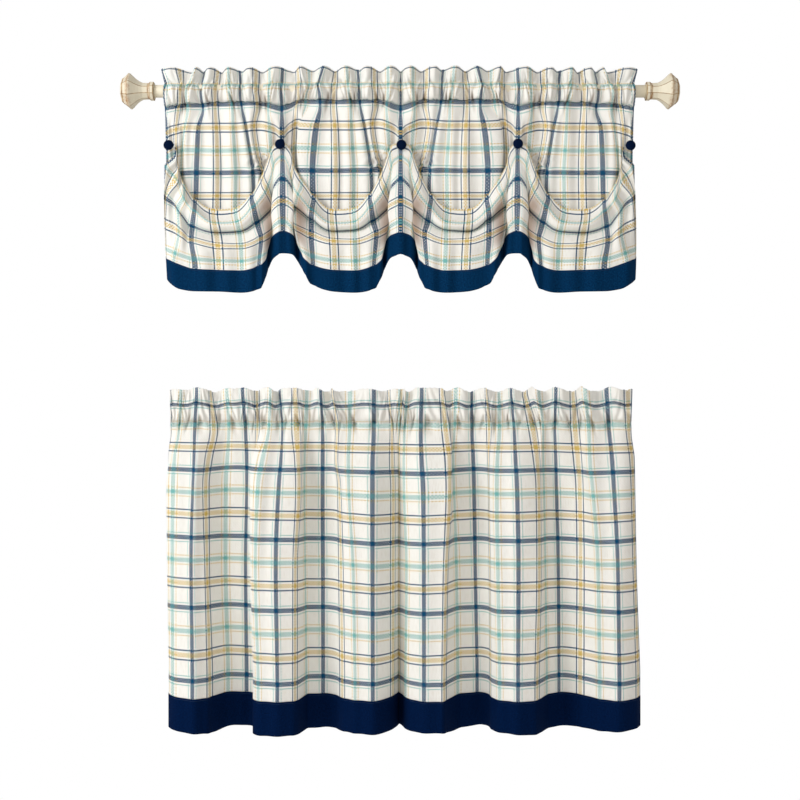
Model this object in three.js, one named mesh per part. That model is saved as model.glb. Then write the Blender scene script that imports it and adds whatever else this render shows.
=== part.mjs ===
// Kitchen curtain set: a swagged valance with covered buttons on its rod, and a pair of tiers below it.
// Millimetres, +Z up, the front faces -Y. The origin is the middle of the curtain rod, on its axis.
// "out" is how far a point stands in front of the rod's axis, so y = -out.
import * as THREE from 'three';

// ---- driving dimensions ----------------------------------------------------------------------

const GAP = 0.3; // clear space between two pieces that meet
const CLOTH = 1.6; // thickness of one layer of the woven cloth
const REPEAT = 122.75; // one repeat of the plaid, the same along and across the cloth

const ROD = { radius: 10.8, length: 858.4, sides: 24 };
const FINIAL = { length: 59, sides: 8 };
const BUTTON = { radius: 8.5, height: 6.4, sides: 12, out: 20.4, z: -93 };

const VALANCE = {
  halfWidth: 412, // at the rod
  swags: 4,
  repeatsPerSwag: 3,
  tunnel: { top: 12, side: 11.5, shoulder: 7.2, bottom: -17.4 }, // a drop-shaped section round the rod
  wall: 1.7,
  topFold: 43,
  topSeam: 13.6,
  bottomSeam: -20,
  restingOut: 5, // how far in front of the rod's axis the cloth hangs
  headerRuffle: 9,
  seamRuffle: 1.3,
  pocketRuffle: 1.3,
};

const TIER = {
  axis: -564, // height of the rod that the pair would hang on
  tunnel: { top: 12.2, side: 8.5, shoulder: 5, bottom: -11.8 },
  wall: 1.7,
  topFold: 42,
  topSeam: 14.4,
  bottomSeam: -14,
  restingOut: 4,
  headerRuffle: 6.5,
  seamRuffle: 1.3,
  pocketRuffle: 1,
  bandTop: -495.5,
  hem: -553.5,
  foldDepth: 60, // front to back of the large folds at the hem
  gathers: 14,
};

const COLOURS = { plaid: 0xf5f0e6, navy: 0x06305a, button: 0x041a33, cream: 0xe9e3c9 };

// ---- small helpers ---------------------------------------------------------------------------

const mix = (from, to, share) => from + (to - from) * share;
const clamp = (value) => Math.min(1, Math.max(0, value));
const smooth = (share) => clamp(share) ** 2 * (3 - 2 * clamp(share));

// A smooth curve through knots [position, value] that never overshoots a crest or a trough. Both ends
// are level where the shape goes on as its own mirror image.
function through(knots, position, levelEnds = false) {
  const last = knots.length - 1;
  const at = Math.min(knots[last][0], Math.max(knots[0][0], position));
  const i = Math.min(last - 1, Math.max(0, knots.findIndex(([next]) => next > at) - 1));
  const span = at < knots[last][0] ? i : last - 1;
  const slope = (k) => (knots[k + 1][1] - knots[k][1]) / (knots[k + 1][0] - knots[k][0]);
  const tangent = (k) => {
    if (k === 0) return levelEnds ? 0 : slope(0);
    if (k === last) return levelEnds ? 0 : slope(last - 1);
    const [before, after] = [slope(k - 1), slope(k)];
    return before * after <= 0 ? 0 : (2 * before * after) / (before + after);
  };
  const [[x0, y0], [x1, y1]] = [knots[span], knots[span + 1]];
  const width = x1 - x0;
  const u = (at - x0) / width;
  return (2 * u ** 3 - 3 * u ** 2 + 1) * y0 + (u ** 3 - 2 * u ** 2 + u) * width * tangent(span)
    + (3 * u ** 2 - 2 * u ** 3) * y1 + (u ** 3 - u ** 2) * width * tangent(span + 1);
}

function solidFrom(points, triangles) {
  const geometry = new THREE.BufferGeometry();
  geometry.setAttribute('position', new THREE.Float32BufferAttribute(points.flatMap((p) => [p.x, p.y, p.z]), 3));
  geometry.setIndex(triangles);
  geometry.computeVertexNormals();
  return geometry;
}

const quad = (a, b, c, d) => [a, b, c, a, c, d];

// Rows of points on the middle surface of one layer of cloth, top row first, each from left to right,
// with the step from each point to the front face.
function thicken(rows) {
  const cornerNormal = (r, c, dr, dc) => {
    const [beyond, beside] = [rows[r + dr]?.[c], rows[r][c + dc]];
    if (!beyond || !beside) return null;
    const across = beside.clone().sub(rows[r][c]).multiplyScalar(dc);
    const down = beyond.clone().sub(rows[r][c]).multiplyScalar(dr);
    return down.cross(across).normalize();
  };
  return rows.map((row, r) => row.map((point, c) => {
    const corners = [[1, 1], [1, -1], [-1, 1], [-1, -1]].map(([dr, dc]) => cornerNormal(r, c, dr, dc)).filter(Boolean);
    const mean = corners.reduce((sum, normal) => sum.add(normal), new THREE.Vector3()).divideScalar(corners.length);
    // The mitre keeps the cloth's thickness where it turns a fold.
    const mitre = 1 / Math.max(0.72, mean.length());
    return { point, toFront: mean.normalize().multiplyScalar((CLOTH / 2) * mitre) };
  }));
}

// Cuts a thickened cloth at one of its rows, for a border sewn on there, with a gap between the two.
function cutAt(rows, seam) {
  const border = rows[seam].map(({ point, toFront }, c, row) => {
    const along = (row[c + 1] ?? row[c]).point.clone().sub((row[c - 1] ?? row[c]).point);
    const down = along.cross(toFront).normalize();
    return { point: point.clone().addScaledVector(down, GAP), toFront };
  });
  return [rows.slice(0, seam + 1), [border, ...rows.slice(seam + 1)]];
}

function sheetSolid(rows) {
  const [height, width] = [rows.length, rows[0].length];
  const all = rows.flat();
  const front = all.map(({ point, toFront }) => point.clone().add(toFront));
  const back = all.map(({ point, toFront }) => point.clone().sub(toFront));
  const behind = all.length;
  const at = (r, c) => r * width + c;
  const triangles = [];
  for (let r = 0; r + 1 < height; r++) {
    for (let c = 0; c + 1 < width; c++) {
      const corners = [at(r, c), at(r + 1, c), at(r + 1, c + 1), at(r, c + 1)];
      const [p, q, u, v] = corners.map((i) => all[i].point);
      if (q.distanceTo(v) < p.distanceTo(u)) corners.push(corners.shift()); // split along the shorter diagonal
      const [i, j, k, l] = corners;
      triangles.push(...quad(i, j, k, l), ...quad(i + behind, l + behind, k + behind, j + behind));
    }
  }
  const rim = [];
  for (let c = 0; c < width; c++) rim.push(at(0, c));
  for (let r = 1; r < height; r++) rim.push(at(r, width - 1));
  for (let c = width - 2; c >= 0; c--) rim.push(at(height - 1, c));
  for (let r = height - 2; r > 0; r--) rim.push(at(r, 0));
  rim.forEach((here, i) => {
    const next = rim[(i + 1) % rim.length];
    const edge = [here, next, next + behind, here + behind];
    // Both edges of a seam split their four-cornered faces the same way, so that they stay parallel.
    if (next < here) edge.push(edge.shift());
    triangles.push(...quad(...edge));
  });
  return solidFrom([...front, ...back], triangles);
}

// A header ruffle and the pocket below it, swept along X: the tunnel runs right through.
// Each station gives its place along the rod, x, and its gather, from -1 in a trough to 1 on a crest.
function headingSolid(size, stations) {
  const half = CLOTH; // the header is two layers sewn together
  const { top, shoulder, bottom } = size.tunnel;
  const points = [];
  for (const { x, gather, lift } of stations) {
    const side = size.tunnel.side + size.pocketRuffle * (1 + gather);
    const header = size.headerRuffle * gather;
    const seam = size.seamRuffle * gather;
    const outer = [
      [half + header, size.topFold + lift],
      [half + 1 + seam, size.topSeam],
      [side + size.wall, shoulder + 1],
      [side + size.wall, -shoulder - 1],
      [size.restingOut + half + seam, size.bottomSeam],
      [size.restingOut - half + seam, size.bottomSeam],
      [-side - size.wall, -shoulder - 1],
      [-side - size.wall, shoulder + 1],
      [-half - 1 + seam, size.topSeam],
      [-half + header, size.topFold + lift],
    ];
    const inner = [
      [0, top],
      [side, shoulder],
      [side, -shoulder],
      [size.restingOut, bottom],
      [-side, -shoulder],
      [-side, shoulder],
    ];
    points.push(...[...outer, ...inner].map(([out, z]) => new THREE.Vector3(x, -out, z)));
  }
  const ring = 16;
  const outerCount = 10;
  const innerCount = ring - outerCount;
  const triangles = [];
  for (let s = 0; s + 1 < stations.length; s++) {
    const [here, next] = [s * ring, (s + 1) * ring];
    for (let k = 0; k < outerCount; k++) {
      const m = (k + 1) % outerCount;
      const face = [here + k, here + m, next + m, next + k];
      // The back splits its four-cornered faces the way the front does, so the layers stay parallel.
      if (k >= outerCount / 2) face.push(face.shift());
      triangles.push(...quad(...face));
    }
    for (let k = 0; k < innerCount; k++) {
      const [a, b] = [outerCount + k, outerCount + ((k + 1) % innerCount)];
      triangles.push(...quad(here + b, here + a, next + a, next + b));
    }
  }
  const flat = (start, count, base) => Array.from({ length: count }, (_, k) => {
    const p = points[base + start + k];
    return new THREE.Vector2(p.y, p.z);
  });
  for (const base of [0, (stations.length - 1) * ring]) {
    const hole = flat(outerCount, innerCount, base);
    const faces = THREE.ShapeUtils.triangulateShape(flat(0, outerCount, base), [hole]);
    for (const [a, b, c] of faces) {
      const [pa, pb, pc] = [a, b, c].map((i) => points[base + i]);
      const area = (pb.y - pa.y) * (pc.z - pa.z) - (pc.y - pa.y) * (pb.z - pa.z);
      const faceOut = (base > 0) === (area > 0);
      triangles.push(base + a, base + (faceOut ? b : c), base + (faceOut ? c : b));
    }
  }
  return solidFrom(points, triangles);
}

const plaid = () => new THREE.MeshStandardMaterial({ color: COLOURS.plaid, roughness: 0.9, side: THREE.DoubleSide });
const navy = () => new THREE.MeshStandardMaterial({ color: COLOURS.navy, roughness: 0.85, side: THREE.DoubleSide });
const paint = () => new THREE.MeshStandardMaterial({ color: COLOURS.cream, roughness: 0.55 });

function named(name, geometry, material) {
  const mesh = new THREE.Mesh(geometry, material);
  mesh.name = name;
  return mesh;
}

// ---- rod, finials and buttons ----------------------------------------------------------------

function rod() {
  const mesh = named('rod', new THREE.CylinderGeometry(ROD.radius, ROD.radius, ROD.length, ROD.sides), paint());
  mesh.rotation.z = Math.PI / 2;
  return mesh;
}

// A turned finial: collar, neck, trumpet, wide rim, small disc and a low dome. Distances run from the rod.
const FINIAL_PROFILE = [
  { along: 0, radius: 0 },
  { along: 0, radius: 16 },
  { along: 8.6, radius: 16 },
  { along: 14, radius: 13.5 },
  { along: 20, radius: 14.4 },
  { along: 26.5, radius: 17 },
  { along: 35, radius: 22.4 },
  { along: 40, radius: 31 },
  { along: 44, radius: 31 },
  { along: 52, radius: 21.6 },
  { along: 54, radius: 22.4 },
  { along: 57, radius: 15 },
  { along: 59, radius: 0 },
];

function finial(name, side) {
  const toCorner = 1 / Math.cos(Math.PI / FINIAL.sides); // the radii are measured to the flats
  const profile = FINIAL_PROFILE.map(({ along, radius }) => new THREE.Vector2(radius * toCorner, along));
  const geometry = new THREE.LatheGeometry(profile, FINIAL.sides, Math.PI / FINIAL.sides);
  const mesh = named(name, geometry, paint());
  mesh.rotation.z = (-side * Math.PI) / 2;
  mesh.position.x = side * (ROD.length / 2 + GAP);
  return mesh;
}

const BUTTON_PROFILE = [
  { radius: 0, height: 0 },
  { radius: 7.6, height: 0 },
  { radius: 8.5, height: 2 },
  { radius: 6.2, height: 5.2 },
  { radius: 0, height: BUTTON.height },
];

function button(index, x) {
  const profile = BUTTON_PROFILE.map(({ radius, height }) => new THREE.Vector2(radius, height));
  const material = new THREE.MeshStandardMaterial({ color: COLOURS.button, roughness: 0.8 });
  const mesh = named(`button_${index}`, new THREE.LatheGeometry(profile, BUTTON.sides), material);
  mesh.rotation.x = Math.PI; // the dome faces the front
  mesh.position.set(x, -BUTTON.out, BUTTON.z);
  return mesh;
}

// ---- valance ---------------------------------------------------------------------------------

const SWAG_FLAT = VALANCE.repeatsPerSwag * REPEAT; // cloth in one swag
const SWAG_WIDTH = [ // hung width: where each button stands, from left to right
  { buttonX: -406 }, { buttonX: -206 }, { buttonX: 1 }, { buttonX: 206 }, { buttonX: 404 },
];

// Lines across the valance cloth, from under the pocket to the top of the band. "cloth" is the length
// of cloth above the line. "gather" is the height of the small gathers there, and "drawn" is how far
// the pleats are drawn in to the buttons. The last five columns give [out, height] of the line at the
// middle of a swag, at its shoulder, in the valley beside a button, on the pleat below a button, and
// at the valance's two side edges.
const LINES = [
  { cloth: 70, gather: 5, drawn: 0, middle: [5, -20.3], shoulder: [5, -20.3], valley: [5, -20.3], pleat: [5, -20.3], edge: [5, -20.3] },
  { cloth: 92, gather: 4, drawn: 0.25, middle: [10, -38], shoulder: [9, -38], valley: [6, -40], pleat: [13, -45], edge: [8, -44] },
  { cloth: 120, gather: 2, drawn: 0.5, middle: [12, -62], shoulder: [12, -63], valley: [6, -65], pleat: [15, -76], edge: [10, -70] },
  { cloth: 139, gather: 1, drawn: 0.7, middle: [13, -80], shoulder: [12, -81], valley: [6, -84], pleat: [8, -92], edge: [8, -90] },
  { cloth: 180, gather: 0, drawn: 1, middle: [14, -122], shoulder: [11, -123], valley: [4, -128], pleat: [3, -140], edge: [3, -135] },
  { cloth: 243, gather: 0, drawn: 1, middle: [14, -183], shoulder: [10, -182], valley: [3, -180], pleat: [1, -185], edge: [1, -180] },
  { cloth: 312, gather: 0, drawn: 1, middle: [13, -256], shoulder: [10, -247], valley: [4, -228], pleat: [2, -216], edge: [1, -216] },
  { cloth: 318, gather: 0, drawn: 1, middle: [19, -256], shoulder: [16, -247], valley: [9, -228], pleat: [7, -216], edge: [6, -216] },
  { cloth: 366, gather: 0, drawn: 1, middle: [20, -205], shoulder: [18, -177], valley: [15, -136], pleat: [13, -91], edge: [13, -91] },
  { cloth: 374, gather: 0, drawn: 1, middle: [27, -205], shoulder: [24, -177], valley: [20, -136], pleat: [18, -92], edge: [18, -92] },
  { cloth: 403, gather: 0, drawn: 1, middle: [45, -222], shoulder: [40, -200], valley: [24, -163], pleat: [18.6, -116], edge: [20, -135] },
  { cloth: 428, gather: 0, drawn: 1, middle: [34, -239], shoulder: [34, -219], valley: [22, -182], pleat: [24, -138], edge: [18, -160] },
  { cloth: 447, gather: 0, drawn: 1, middle: [35, -248], shoulder: [37, -230], valley: [21, -197], pleat: [30, -156], edge: [16, -184] },
  { cloth: 468, gather: 0, drawn: 1, middle: [51, -259], shoulder: [46, -243], valley: [19, -212], pleat: [34, -175], edge: [15, -206] },
  { cloth: 488, gather: 0, drawn: 1, middle: [51, -272], shoulder: [48, -256], valley: [17, -228], pleat: [38, -194], edge: [14, -228] },
  { cloth: 514, gather: 0, drawn: 1, middle: [43, -287], shoulder: [45, -276], valley: [13, -246], pleat: [41, -217], edge: [13, -256] },
  { cloth: 548, gather: 0, drawn: 1, middle: [46, -315], shoulder: [47, -303], valley: [8, -268], pleat: [44, -246], edge: [12, -289] },
];

// The navy border carries on from the last line, down to the hem.
const BAND_LINES = [
  { cloth: 566, gather: 0, drawn: 1, middle: [47, -334], shoulder: [48.5, -323], valley: [6, -287], pleat: [45, -265], edge: [11, -309] },
  { cloth: 585, gather: 0, drawn: 1, middle: [48, -353], shoulder: [50, -342], valley: [4, -306], pleat: [46, -284], edge: [12, -328] },
];

// Columns of a half swag, from its button to its middle, by length of cloth: every second one is a
// crest of the gathers at the rod.
const COLUMNS = [0, 26, 61.4, 92, 122.75, 153.4].map((cloth) => ({ cloth }));

// Where a column hangs, measured from its button: gathered evenly at the rod, then drawn in by the pleats.
const DRAWN_IN = [[0, 0], [61.4, 27], [122.75, 46], [SWAG_FLAT / 2, 1]];
// At the valance's own side edges it hangs free, a little outside the button.
const DRAWN_EDGE = [[0, -3], [26, 1], [61.4, 11], [122.75, 46], [SWAG_FLAT / 2, 1]];

function valanceColumns() {
  const columns = [];
  const last = VALANCE.swags - 1;
  for (let swag = 0; swag <= last; swag++) {
    const [left, right] = [SWAG_WIDTH[swag].buttonX, SWAG_WIDTH[swag + 1].buttonX];
    COLUMNS.forEach(({ cloth }, k) => columns.push({ swag, side: 1, cloth, k, from: left, width: right - left, isEdge: swag === 0 }));
    columns.push({ swag, side: 1, cloth: SWAG_FLAT / 2, k: COLUMNS.length, from: left, width: right - left, isEdge: false });
    const mirrored = COLUMNS.map((column, k) => ({ ...column, k })).reverse();
    for (const { cloth, k } of mirrored) {
      if (k === 0 && swag < last) continue; // the next swag starts with this column
      columns.push({ swag, side: -1, cloth, k, from: right, width: right - left, isEdge: swag === last });
    }
  }
  return columns;
}

// Crests are a little uneven: taller and shorter ones follow each other along the rod.
const gatherOf = (index) => (index % 2 ? -1 : 1) * (0.85 + 0.2 * Math.sin(index * 1.9));

function valanceX(column, drawn) {
  const halfSwag = column.width / 2;
  const even = (column.cloth / (SWAG_FLAT / 2)) * halfSwag;
  const knots = (column.isEdge ? DRAWN_EDGE : DRAWN_IN).map(([at, x], i, all) => [at, i === all.length - 1 ? halfSwag : x]);
  const sideRoom = column.isEdge ? (1 - drawn) * (VALANCE.halfWidth - Math.abs(column.from)) * (1 - even / halfSwag) : 0;
  return column.from + column.side * (mix(even, through(knots, column.cloth), drawn) - sideRoom);
}

function valanceRow(line, columns) {
  return columns.map((column, index) => {
    const knotsOf = (axis) => (column.isEdge
      ? [[0, line.edge[axis]], [61.4, mix(line.edge[axis], line.shoulder[axis], 0.4)]]
      : [[0, line.pleat[axis]], [61.4, line.valley[axis]]]
    ).concat([[122.75, line.shoulder[axis]], [SWAG_FLAT / 2, line.middle[axis]]]);
    const out = through(knotsOf(0), column.cloth, true) + line.gather * gatherOf(index);
    return new THREE.Vector3(valanceX(column, line.drawn), -out, through(knotsOf(1), column.cloth, true));
  });
}

function valance() {
  const group = new THREE.Group();
  const columns = valanceColumns();
  const stations = columns.map((column, index) => ({
    x: valanceX(column, 0), gather: gatherOf(index), lift: 1.5 * gatherOf(index),
  }));
  group.add(named('valance_heading', headingSolid(VALANCE, stations), plaid()));
  const rows = [...LINES, ...BAND_LINES].map((line) => valanceRow(line, columns));
  const [drop, band] = cutAt(thicken(rows), LINES.length - 1);
  group.add(named('valance_drop', sheetSolid(drop), plaid()));
  group.add(named('valance_band', sheetSolid(band), navy()));
  SWAG_WIDTH.forEach(({ buttonX }, i) => group.add(button(i + 1, buttonX)));
  return group;
}

// ---- tiers -----------------------------------------------------------------------------------

// The large folds of each tier, from left to right. "repeats" counts plaid repeats along the cloth,
// "topX" and "hemX" say where that place hangs at the pocket and at the hem, and "near" is 1 on the
// front of a fold and 0 at its back.
const FOLDS = {
  tier_left: [
    { repeats: -0.4, topX: -407, hemX: -409, near: 0.35 },
    { repeats: 0.1, topX: -348, hemX: -355, near: 1 },
    { repeats: 0.5, topX: -315, hemX: -318, near: 0.55 },
    { repeats: 0.88, topX: -285, hemX: -285, near: 0 },
    { repeats: 1.08, topX: -269, hemX: -263, near: 0.1 },
    { repeats: 1.3, topX: -254, hemX: -257, near: 0.4 },
    { repeats: 1.5, topX: -240, hemX: -260, near: 0.72 },
    { repeats: 1.7, topX: -227, hemX: -244, near: 0.92 },
    { repeats: 2.03, topX: -204, hemX: -213, near: 1 },
    { repeats: 2.45, topX: -174, hemX: -179, near: 0.5 },
    { repeats: 2.85, topX: -148, hemX: -149, near: 0 },
    { repeats: 3.2, topX: -119, hemX: -118, near: 0.3 },
    { repeats: 3.6, topX: -82, hemX: -84, near: 0.75 },
    { repeats: 3.97, topX: -49, hemX: -51, near: 1 },
    { repeats: 4.44, topX: -1.2, hemX: -1.2, near: 0.3 },
  ],
  tier_right: [
    { repeats: -0.42, topX: 1.2, hemX: 2, near: 0.35 },
    { repeats: 0, topX: 40, hemX: 39, near: 1 },
    { repeats: 0.35, topX: 70, hemX: 68, near: 0.97 },
    { repeats: 0.58, topX: 89, hemX: 91, near: 0.72 },
    { repeats: 0.78, topX: 106, hemX: 101, near: 0.28 },
    { repeats: 1, topX: 125, hemX: 130, near: 0 },
    { repeats: 1.25, topX: 142, hemX: 155, near: 0.15 },
    { repeats: 1.42, topX: 154, hemX: 160, near: 0.45 },
    { repeats: 1.58, topX: 165, hemX: 158, near: 0.75 },
    { repeats: 1.8, topX: 180, hemX: 186, near: 0.93 },
    { repeats: 2.2, topX: 210, hemX: 222, near: 1 },
    { repeats: 2.45, topX: 230, hemX: 240, near: 0.75 },
    { repeats: 2.7, topX: 250, hemX: 252, near: 0.35 },
    { repeats: 3.15, topX: 287, hemX: 288, near: 0 },
    { repeats: 3.5, topX: 318, hemX: 325, near: 0.35 },
    { repeats: 3.95, topX: 358, hemX: 374, near: 1 },
    { repeats: 4.37, topX: 402, hemX: 418, near: 0.25 },
  ],
};

const FALL_ROWS = [0, 0.05, 0.13, 0.26, 0.42, 0.6, 0.8, 1].map((fall) => ({ fall })); // share of the drop
const BAND_ROWS = [0.5, 1].map((share) => ({ share })); // share of the border's height

const column = (folds, key) => folds.map((fold) => [fold.repeats, fold[key]]);

function tierColumns(folds) {
  const count = 2 * TIER.gathers;
  const [first, last] = [folds[0].repeats, folds[folds.length - 1].repeats];
  return Array.from({ length: count + 1 }, (_, k) => {
    const wander = k === 0 || k === count ? 0 : 0.22 * Math.sin(k * 2.3);
    return { repeats: mix(first, last, (k + wander) / count), gather: gatherOf(k) };
  });
}

function tierRow(folds, columns, z) {
  const fall = (TIER.bottomSeam - z) / (TIER.bottomSeam - TIER.hem);
  const spread = smooth(fall * 1.4);
  const foldDepth = TIER.foldDepth * Math.sin((clamp(fall * 1.05) * Math.PI) / 2);
  const gatherHeight = TIER.seamRuffle * (1 - clamp(fall * 2.2)) + 3 * Math.sin(clamp(fall * 2.2) * Math.PI);
  return columns.map(({ repeats, gather }) => {
    const x = mix(through(column(folds, 'topX'), repeats), through(column(folds, 'hemX'), repeats), spread);
    const near = through(column(folds, 'near'), repeats);
    const out = TIER.restingOut + gatherHeight * gather + foldDepth * (near - 0.5);
    return new THREE.Vector3(x, -out, z);
  });
}

function tier(name) {
  const group = new THREE.Group();
  group.position.z = TIER.axis;
  const folds = FOLDS[name];
  const columns = tierColumns(folds);
  const stations = columns.map(({ repeats, gather }) => ({
    x: through(column(folds, 'topX'), repeats), gather, lift: 1.5 * gather,
  }));
  const panelTop = TIER.bottomSeam - GAP;
  const heights = [
    ...FALL_ROWS.map(({ fall }) => mix(panelTop, TIER.bandTop, fall)),
    ...BAND_ROWS.map(({ share }) => mix(TIER.bandTop, TIER.hem, share)),
  ];
  const [panel, band] = cutAt(thicken(heights.map((z) => tierRow(folds, columns, z))), FALL_ROWS.length - 1);
  group.add(named(`${name}_heading`, headingSolid(TIER, stations), plaid()));
  group.add(named(`${name}_panel`, sheetSolid(panel), plaid()));
  group.add(named(`${name}_band`, sheetSolid(band), navy()));
  return group;
}

// ---- the set ---------------------------------------------------------------------------------

const curtain = new THREE.Group();
curtain.add(rod(), finial('finial_left', -1), finial('finial_right', 1), valance(), tier('tier_left'), tier('tier_right'));

export default curtain;
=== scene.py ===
import math

import bpy
import numpy as np
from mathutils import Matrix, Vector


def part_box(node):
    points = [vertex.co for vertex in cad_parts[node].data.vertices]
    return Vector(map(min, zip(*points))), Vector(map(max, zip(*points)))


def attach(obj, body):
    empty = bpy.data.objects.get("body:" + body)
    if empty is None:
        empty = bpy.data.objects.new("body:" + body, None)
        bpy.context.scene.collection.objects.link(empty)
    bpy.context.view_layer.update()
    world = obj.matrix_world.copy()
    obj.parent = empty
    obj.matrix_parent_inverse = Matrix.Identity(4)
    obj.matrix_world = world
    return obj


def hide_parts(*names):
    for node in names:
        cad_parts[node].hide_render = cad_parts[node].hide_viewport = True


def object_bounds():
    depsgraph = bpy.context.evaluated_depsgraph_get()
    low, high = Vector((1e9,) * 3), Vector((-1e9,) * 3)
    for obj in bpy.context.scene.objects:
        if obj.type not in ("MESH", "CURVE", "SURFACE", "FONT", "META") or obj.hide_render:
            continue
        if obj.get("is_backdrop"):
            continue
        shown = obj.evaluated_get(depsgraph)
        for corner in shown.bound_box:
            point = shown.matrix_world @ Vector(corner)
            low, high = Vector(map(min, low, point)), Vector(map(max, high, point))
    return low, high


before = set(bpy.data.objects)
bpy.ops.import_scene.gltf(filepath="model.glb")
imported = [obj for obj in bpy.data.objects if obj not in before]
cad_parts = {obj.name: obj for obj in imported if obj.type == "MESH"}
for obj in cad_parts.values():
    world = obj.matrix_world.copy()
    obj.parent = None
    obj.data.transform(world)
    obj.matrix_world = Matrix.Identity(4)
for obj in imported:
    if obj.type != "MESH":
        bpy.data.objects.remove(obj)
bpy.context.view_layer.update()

# ---- curtain rod -----------------------------------------------------------------------------
# A plain round pole of painted wood. It runs through the valance's pocket, and only a short end
# shows on each side, next to the finials.

ROD_SIDES = 48
CREAM = "e9e1ca"
WORN_BROWN = "a9794a"
ROD_CHAMFER = 0.6  # on the rod's end edges


def linear(hexadecimal, alpha=1.0):
    """An sRGB hex colour as the linear RGBA that Blender's sockets hold."""
    parts = [int(hexadecimal[i:i + 2], 16) / 255 for i in (0, 2, 4)]
    return [p / 12.92 if p <= 0.04045 else ((p + 0.055) / 1.055) ** 2.4 for p in parts] + [alpha]


def add(tree, kind, inputs=None, **settings):
    """Adds a node with its settings. An input is a value, or the socket of another node to link to it."""
    node = tree.nodes.new(kind)
    for name, value in settings.items():
        setattr(node, name, value)
    for name, value in (inputs or {}).items():
        if isinstance(value, bpy.types.NodeSocket):
            tree.links.new(value, node.inputs[name])
        else:
            node.inputs[name].default_value = value
    return node


def new_material(name):
    """An empty material with its output, and the tree to fill."""
    material = bpy.data.materials.new(name)
    material.use_nodes = True
    material.node_tree.nodes.clear()
    return material, material.node_tree


def finish_material(tree, surface):
    add(tree, "ShaderNodeOutputMaterial", {"Surface": surface.outputs[0]})


def antiqued_paint():
    """Cream chalk paint, brushed on and rubbed back: matt, with brown showing at edges and in grooves."""
    material, tree = new_material("antiqued chalk paint")
    place = add(tree, "ShaderNodeTexCoord").outputs["Object"]
    blotch = add(tree, "ShaderNodeTexNoise", {"Vector": place, "Scale": 90.0, "Detail": 4.0})
    streak = add(tree, "ShaderNodeTexNoise", {"Vector": place, "Scale": 420.0, "Detail": 3.0})
    worn = add(tree, "ShaderNodeAttribute", attribute_name="wear").outputs["Fac"]
    amount = add(tree, "ShaderNodeMath", {0: blotch.outputs["Fac"], 1: worn}, operation="MULTIPLY")
    rough = add(tree, "ShaderNodeMath", {
        0: amount.outputs[0], 1: streak.outputs["Fac"]}, operation="MULTIPLY")
    shade = add(tree, "ShaderNodeMapRange", {"Value": rough.outputs[0], "From Min": 0.13, "From Max": 0.52})
    colour = add(tree, "ShaderNodeMix", {"Factor": shade.outputs["Result"]}, data_type="RGBA")
    colour.inputs["A"].default_value = linear(CREAM)
    colour.inputs["B"].default_value = linear(WORN_BROWN)
    bump = add(tree, "ShaderNodeBump", {
        "Height": streak.outputs["Fac"], "Strength": 0.15, "Distance": 0.0004})
    finish_material(tree, add(tree, "ShaderNodeBsdfPrincipled", {
        "Base Color": colour.outputs["Result"], "Normal": bump.outputs[0], "Roughness": 0.55}))
    return material


def mesh_object(name, points, faces, material, smooth=True):
    """A mesh from points in mm, in the part's own frame."""
    mesh = bpy.data.meshes.new(name)
    mesh.from_pydata([[value / 1000 for value in point] for point in points], [], faces)
    mesh.polygons.foreach_set("use_smooth", [smooth] * len(mesh.polygons))
    mesh.materials.append(material)
    piece = bpy.data.objects.new(name, mesh)
    bpy.context.scene.collection.objects.link(piece)
    return piece


def turned(name, profile, sides, material, axis, origin, half_turn=0.0, smooth=True):
    """Turns a profile of (along, radius) pairs about an axis from the origin. Its ends are on the axis."""
    along_axis = np.array(axis, float)
    u = np.cross(along_axis, (0, 0, 1.0))
    if np.linalg.norm(u) < 0.1:
        u = np.cross(along_axis, (0, 1.0, 0))
    u /= np.linalg.norm(u)
    w = np.cross(along_axis, u)
    points = [tuple(np.array(origin) + along_axis * profile[0][0])]
    for along, radius in profile[1:-1]:
        for k in range(sides):
            angle = 2 * math.pi * (k + half_turn) / sides
            spoke = u * math.cos(angle) + w * math.sin(angle)
            points.append(tuple(np.array(origin) + along_axis * along + spoke * radius))
    points.append(tuple(np.array(origin) + along_axis * profile[-1][0]))
    faces = [(0, 1 + (k + 1) % sides, 1 + k) for k in range(sides)]
    for ring in range(len(profile) - 3):
        first, second = 1 + ring * sides, 1 + (ring + 1) * sides
        for k in range(sides):
            m = (k + 1) % sides
            faces.append((first + k, first + m, second + m, second + k))
    last, end = 1 + (len(profile) - 3) * sides, len(points) - 1
    faces += [(end, last + k, last + (k + 1) % sides) for k in range(sides)]
    return mesh_object(name, points, faces, material, smooth)


paint = antiqued_paint()
rod_low, rod_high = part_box("rod")
ROD_RADIUS = (rod_high.z - rod_low.z) * 500
rod_profile = [(0, 0), (0, ROD_RADIUS - ROD_CHAMFER), (ROD_CHAMFER, ROD_RADIUS)]
rod_length = (rod_high.x - rod_low.x) * 1000
rod_profile += [(rod_length - along, radius) for along, radius in reversed(rod_profile)]
rod = turned("curtain_rod", rod_profile, ROD_SIDES, paint, (1, 0, 0), (rod_low.x * 1000, 0, 0))
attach(rod, "root")
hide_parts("rod")

# ---- finials ---------------------------------------------------------------------------------
# An eight-sided turned and carved wooden finial on each end of the rod: collar, neck, trumpet, wide
# rim, disc and a low dome. It has the same cream paint, rubbed brown on its edges and in its grooves.

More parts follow.
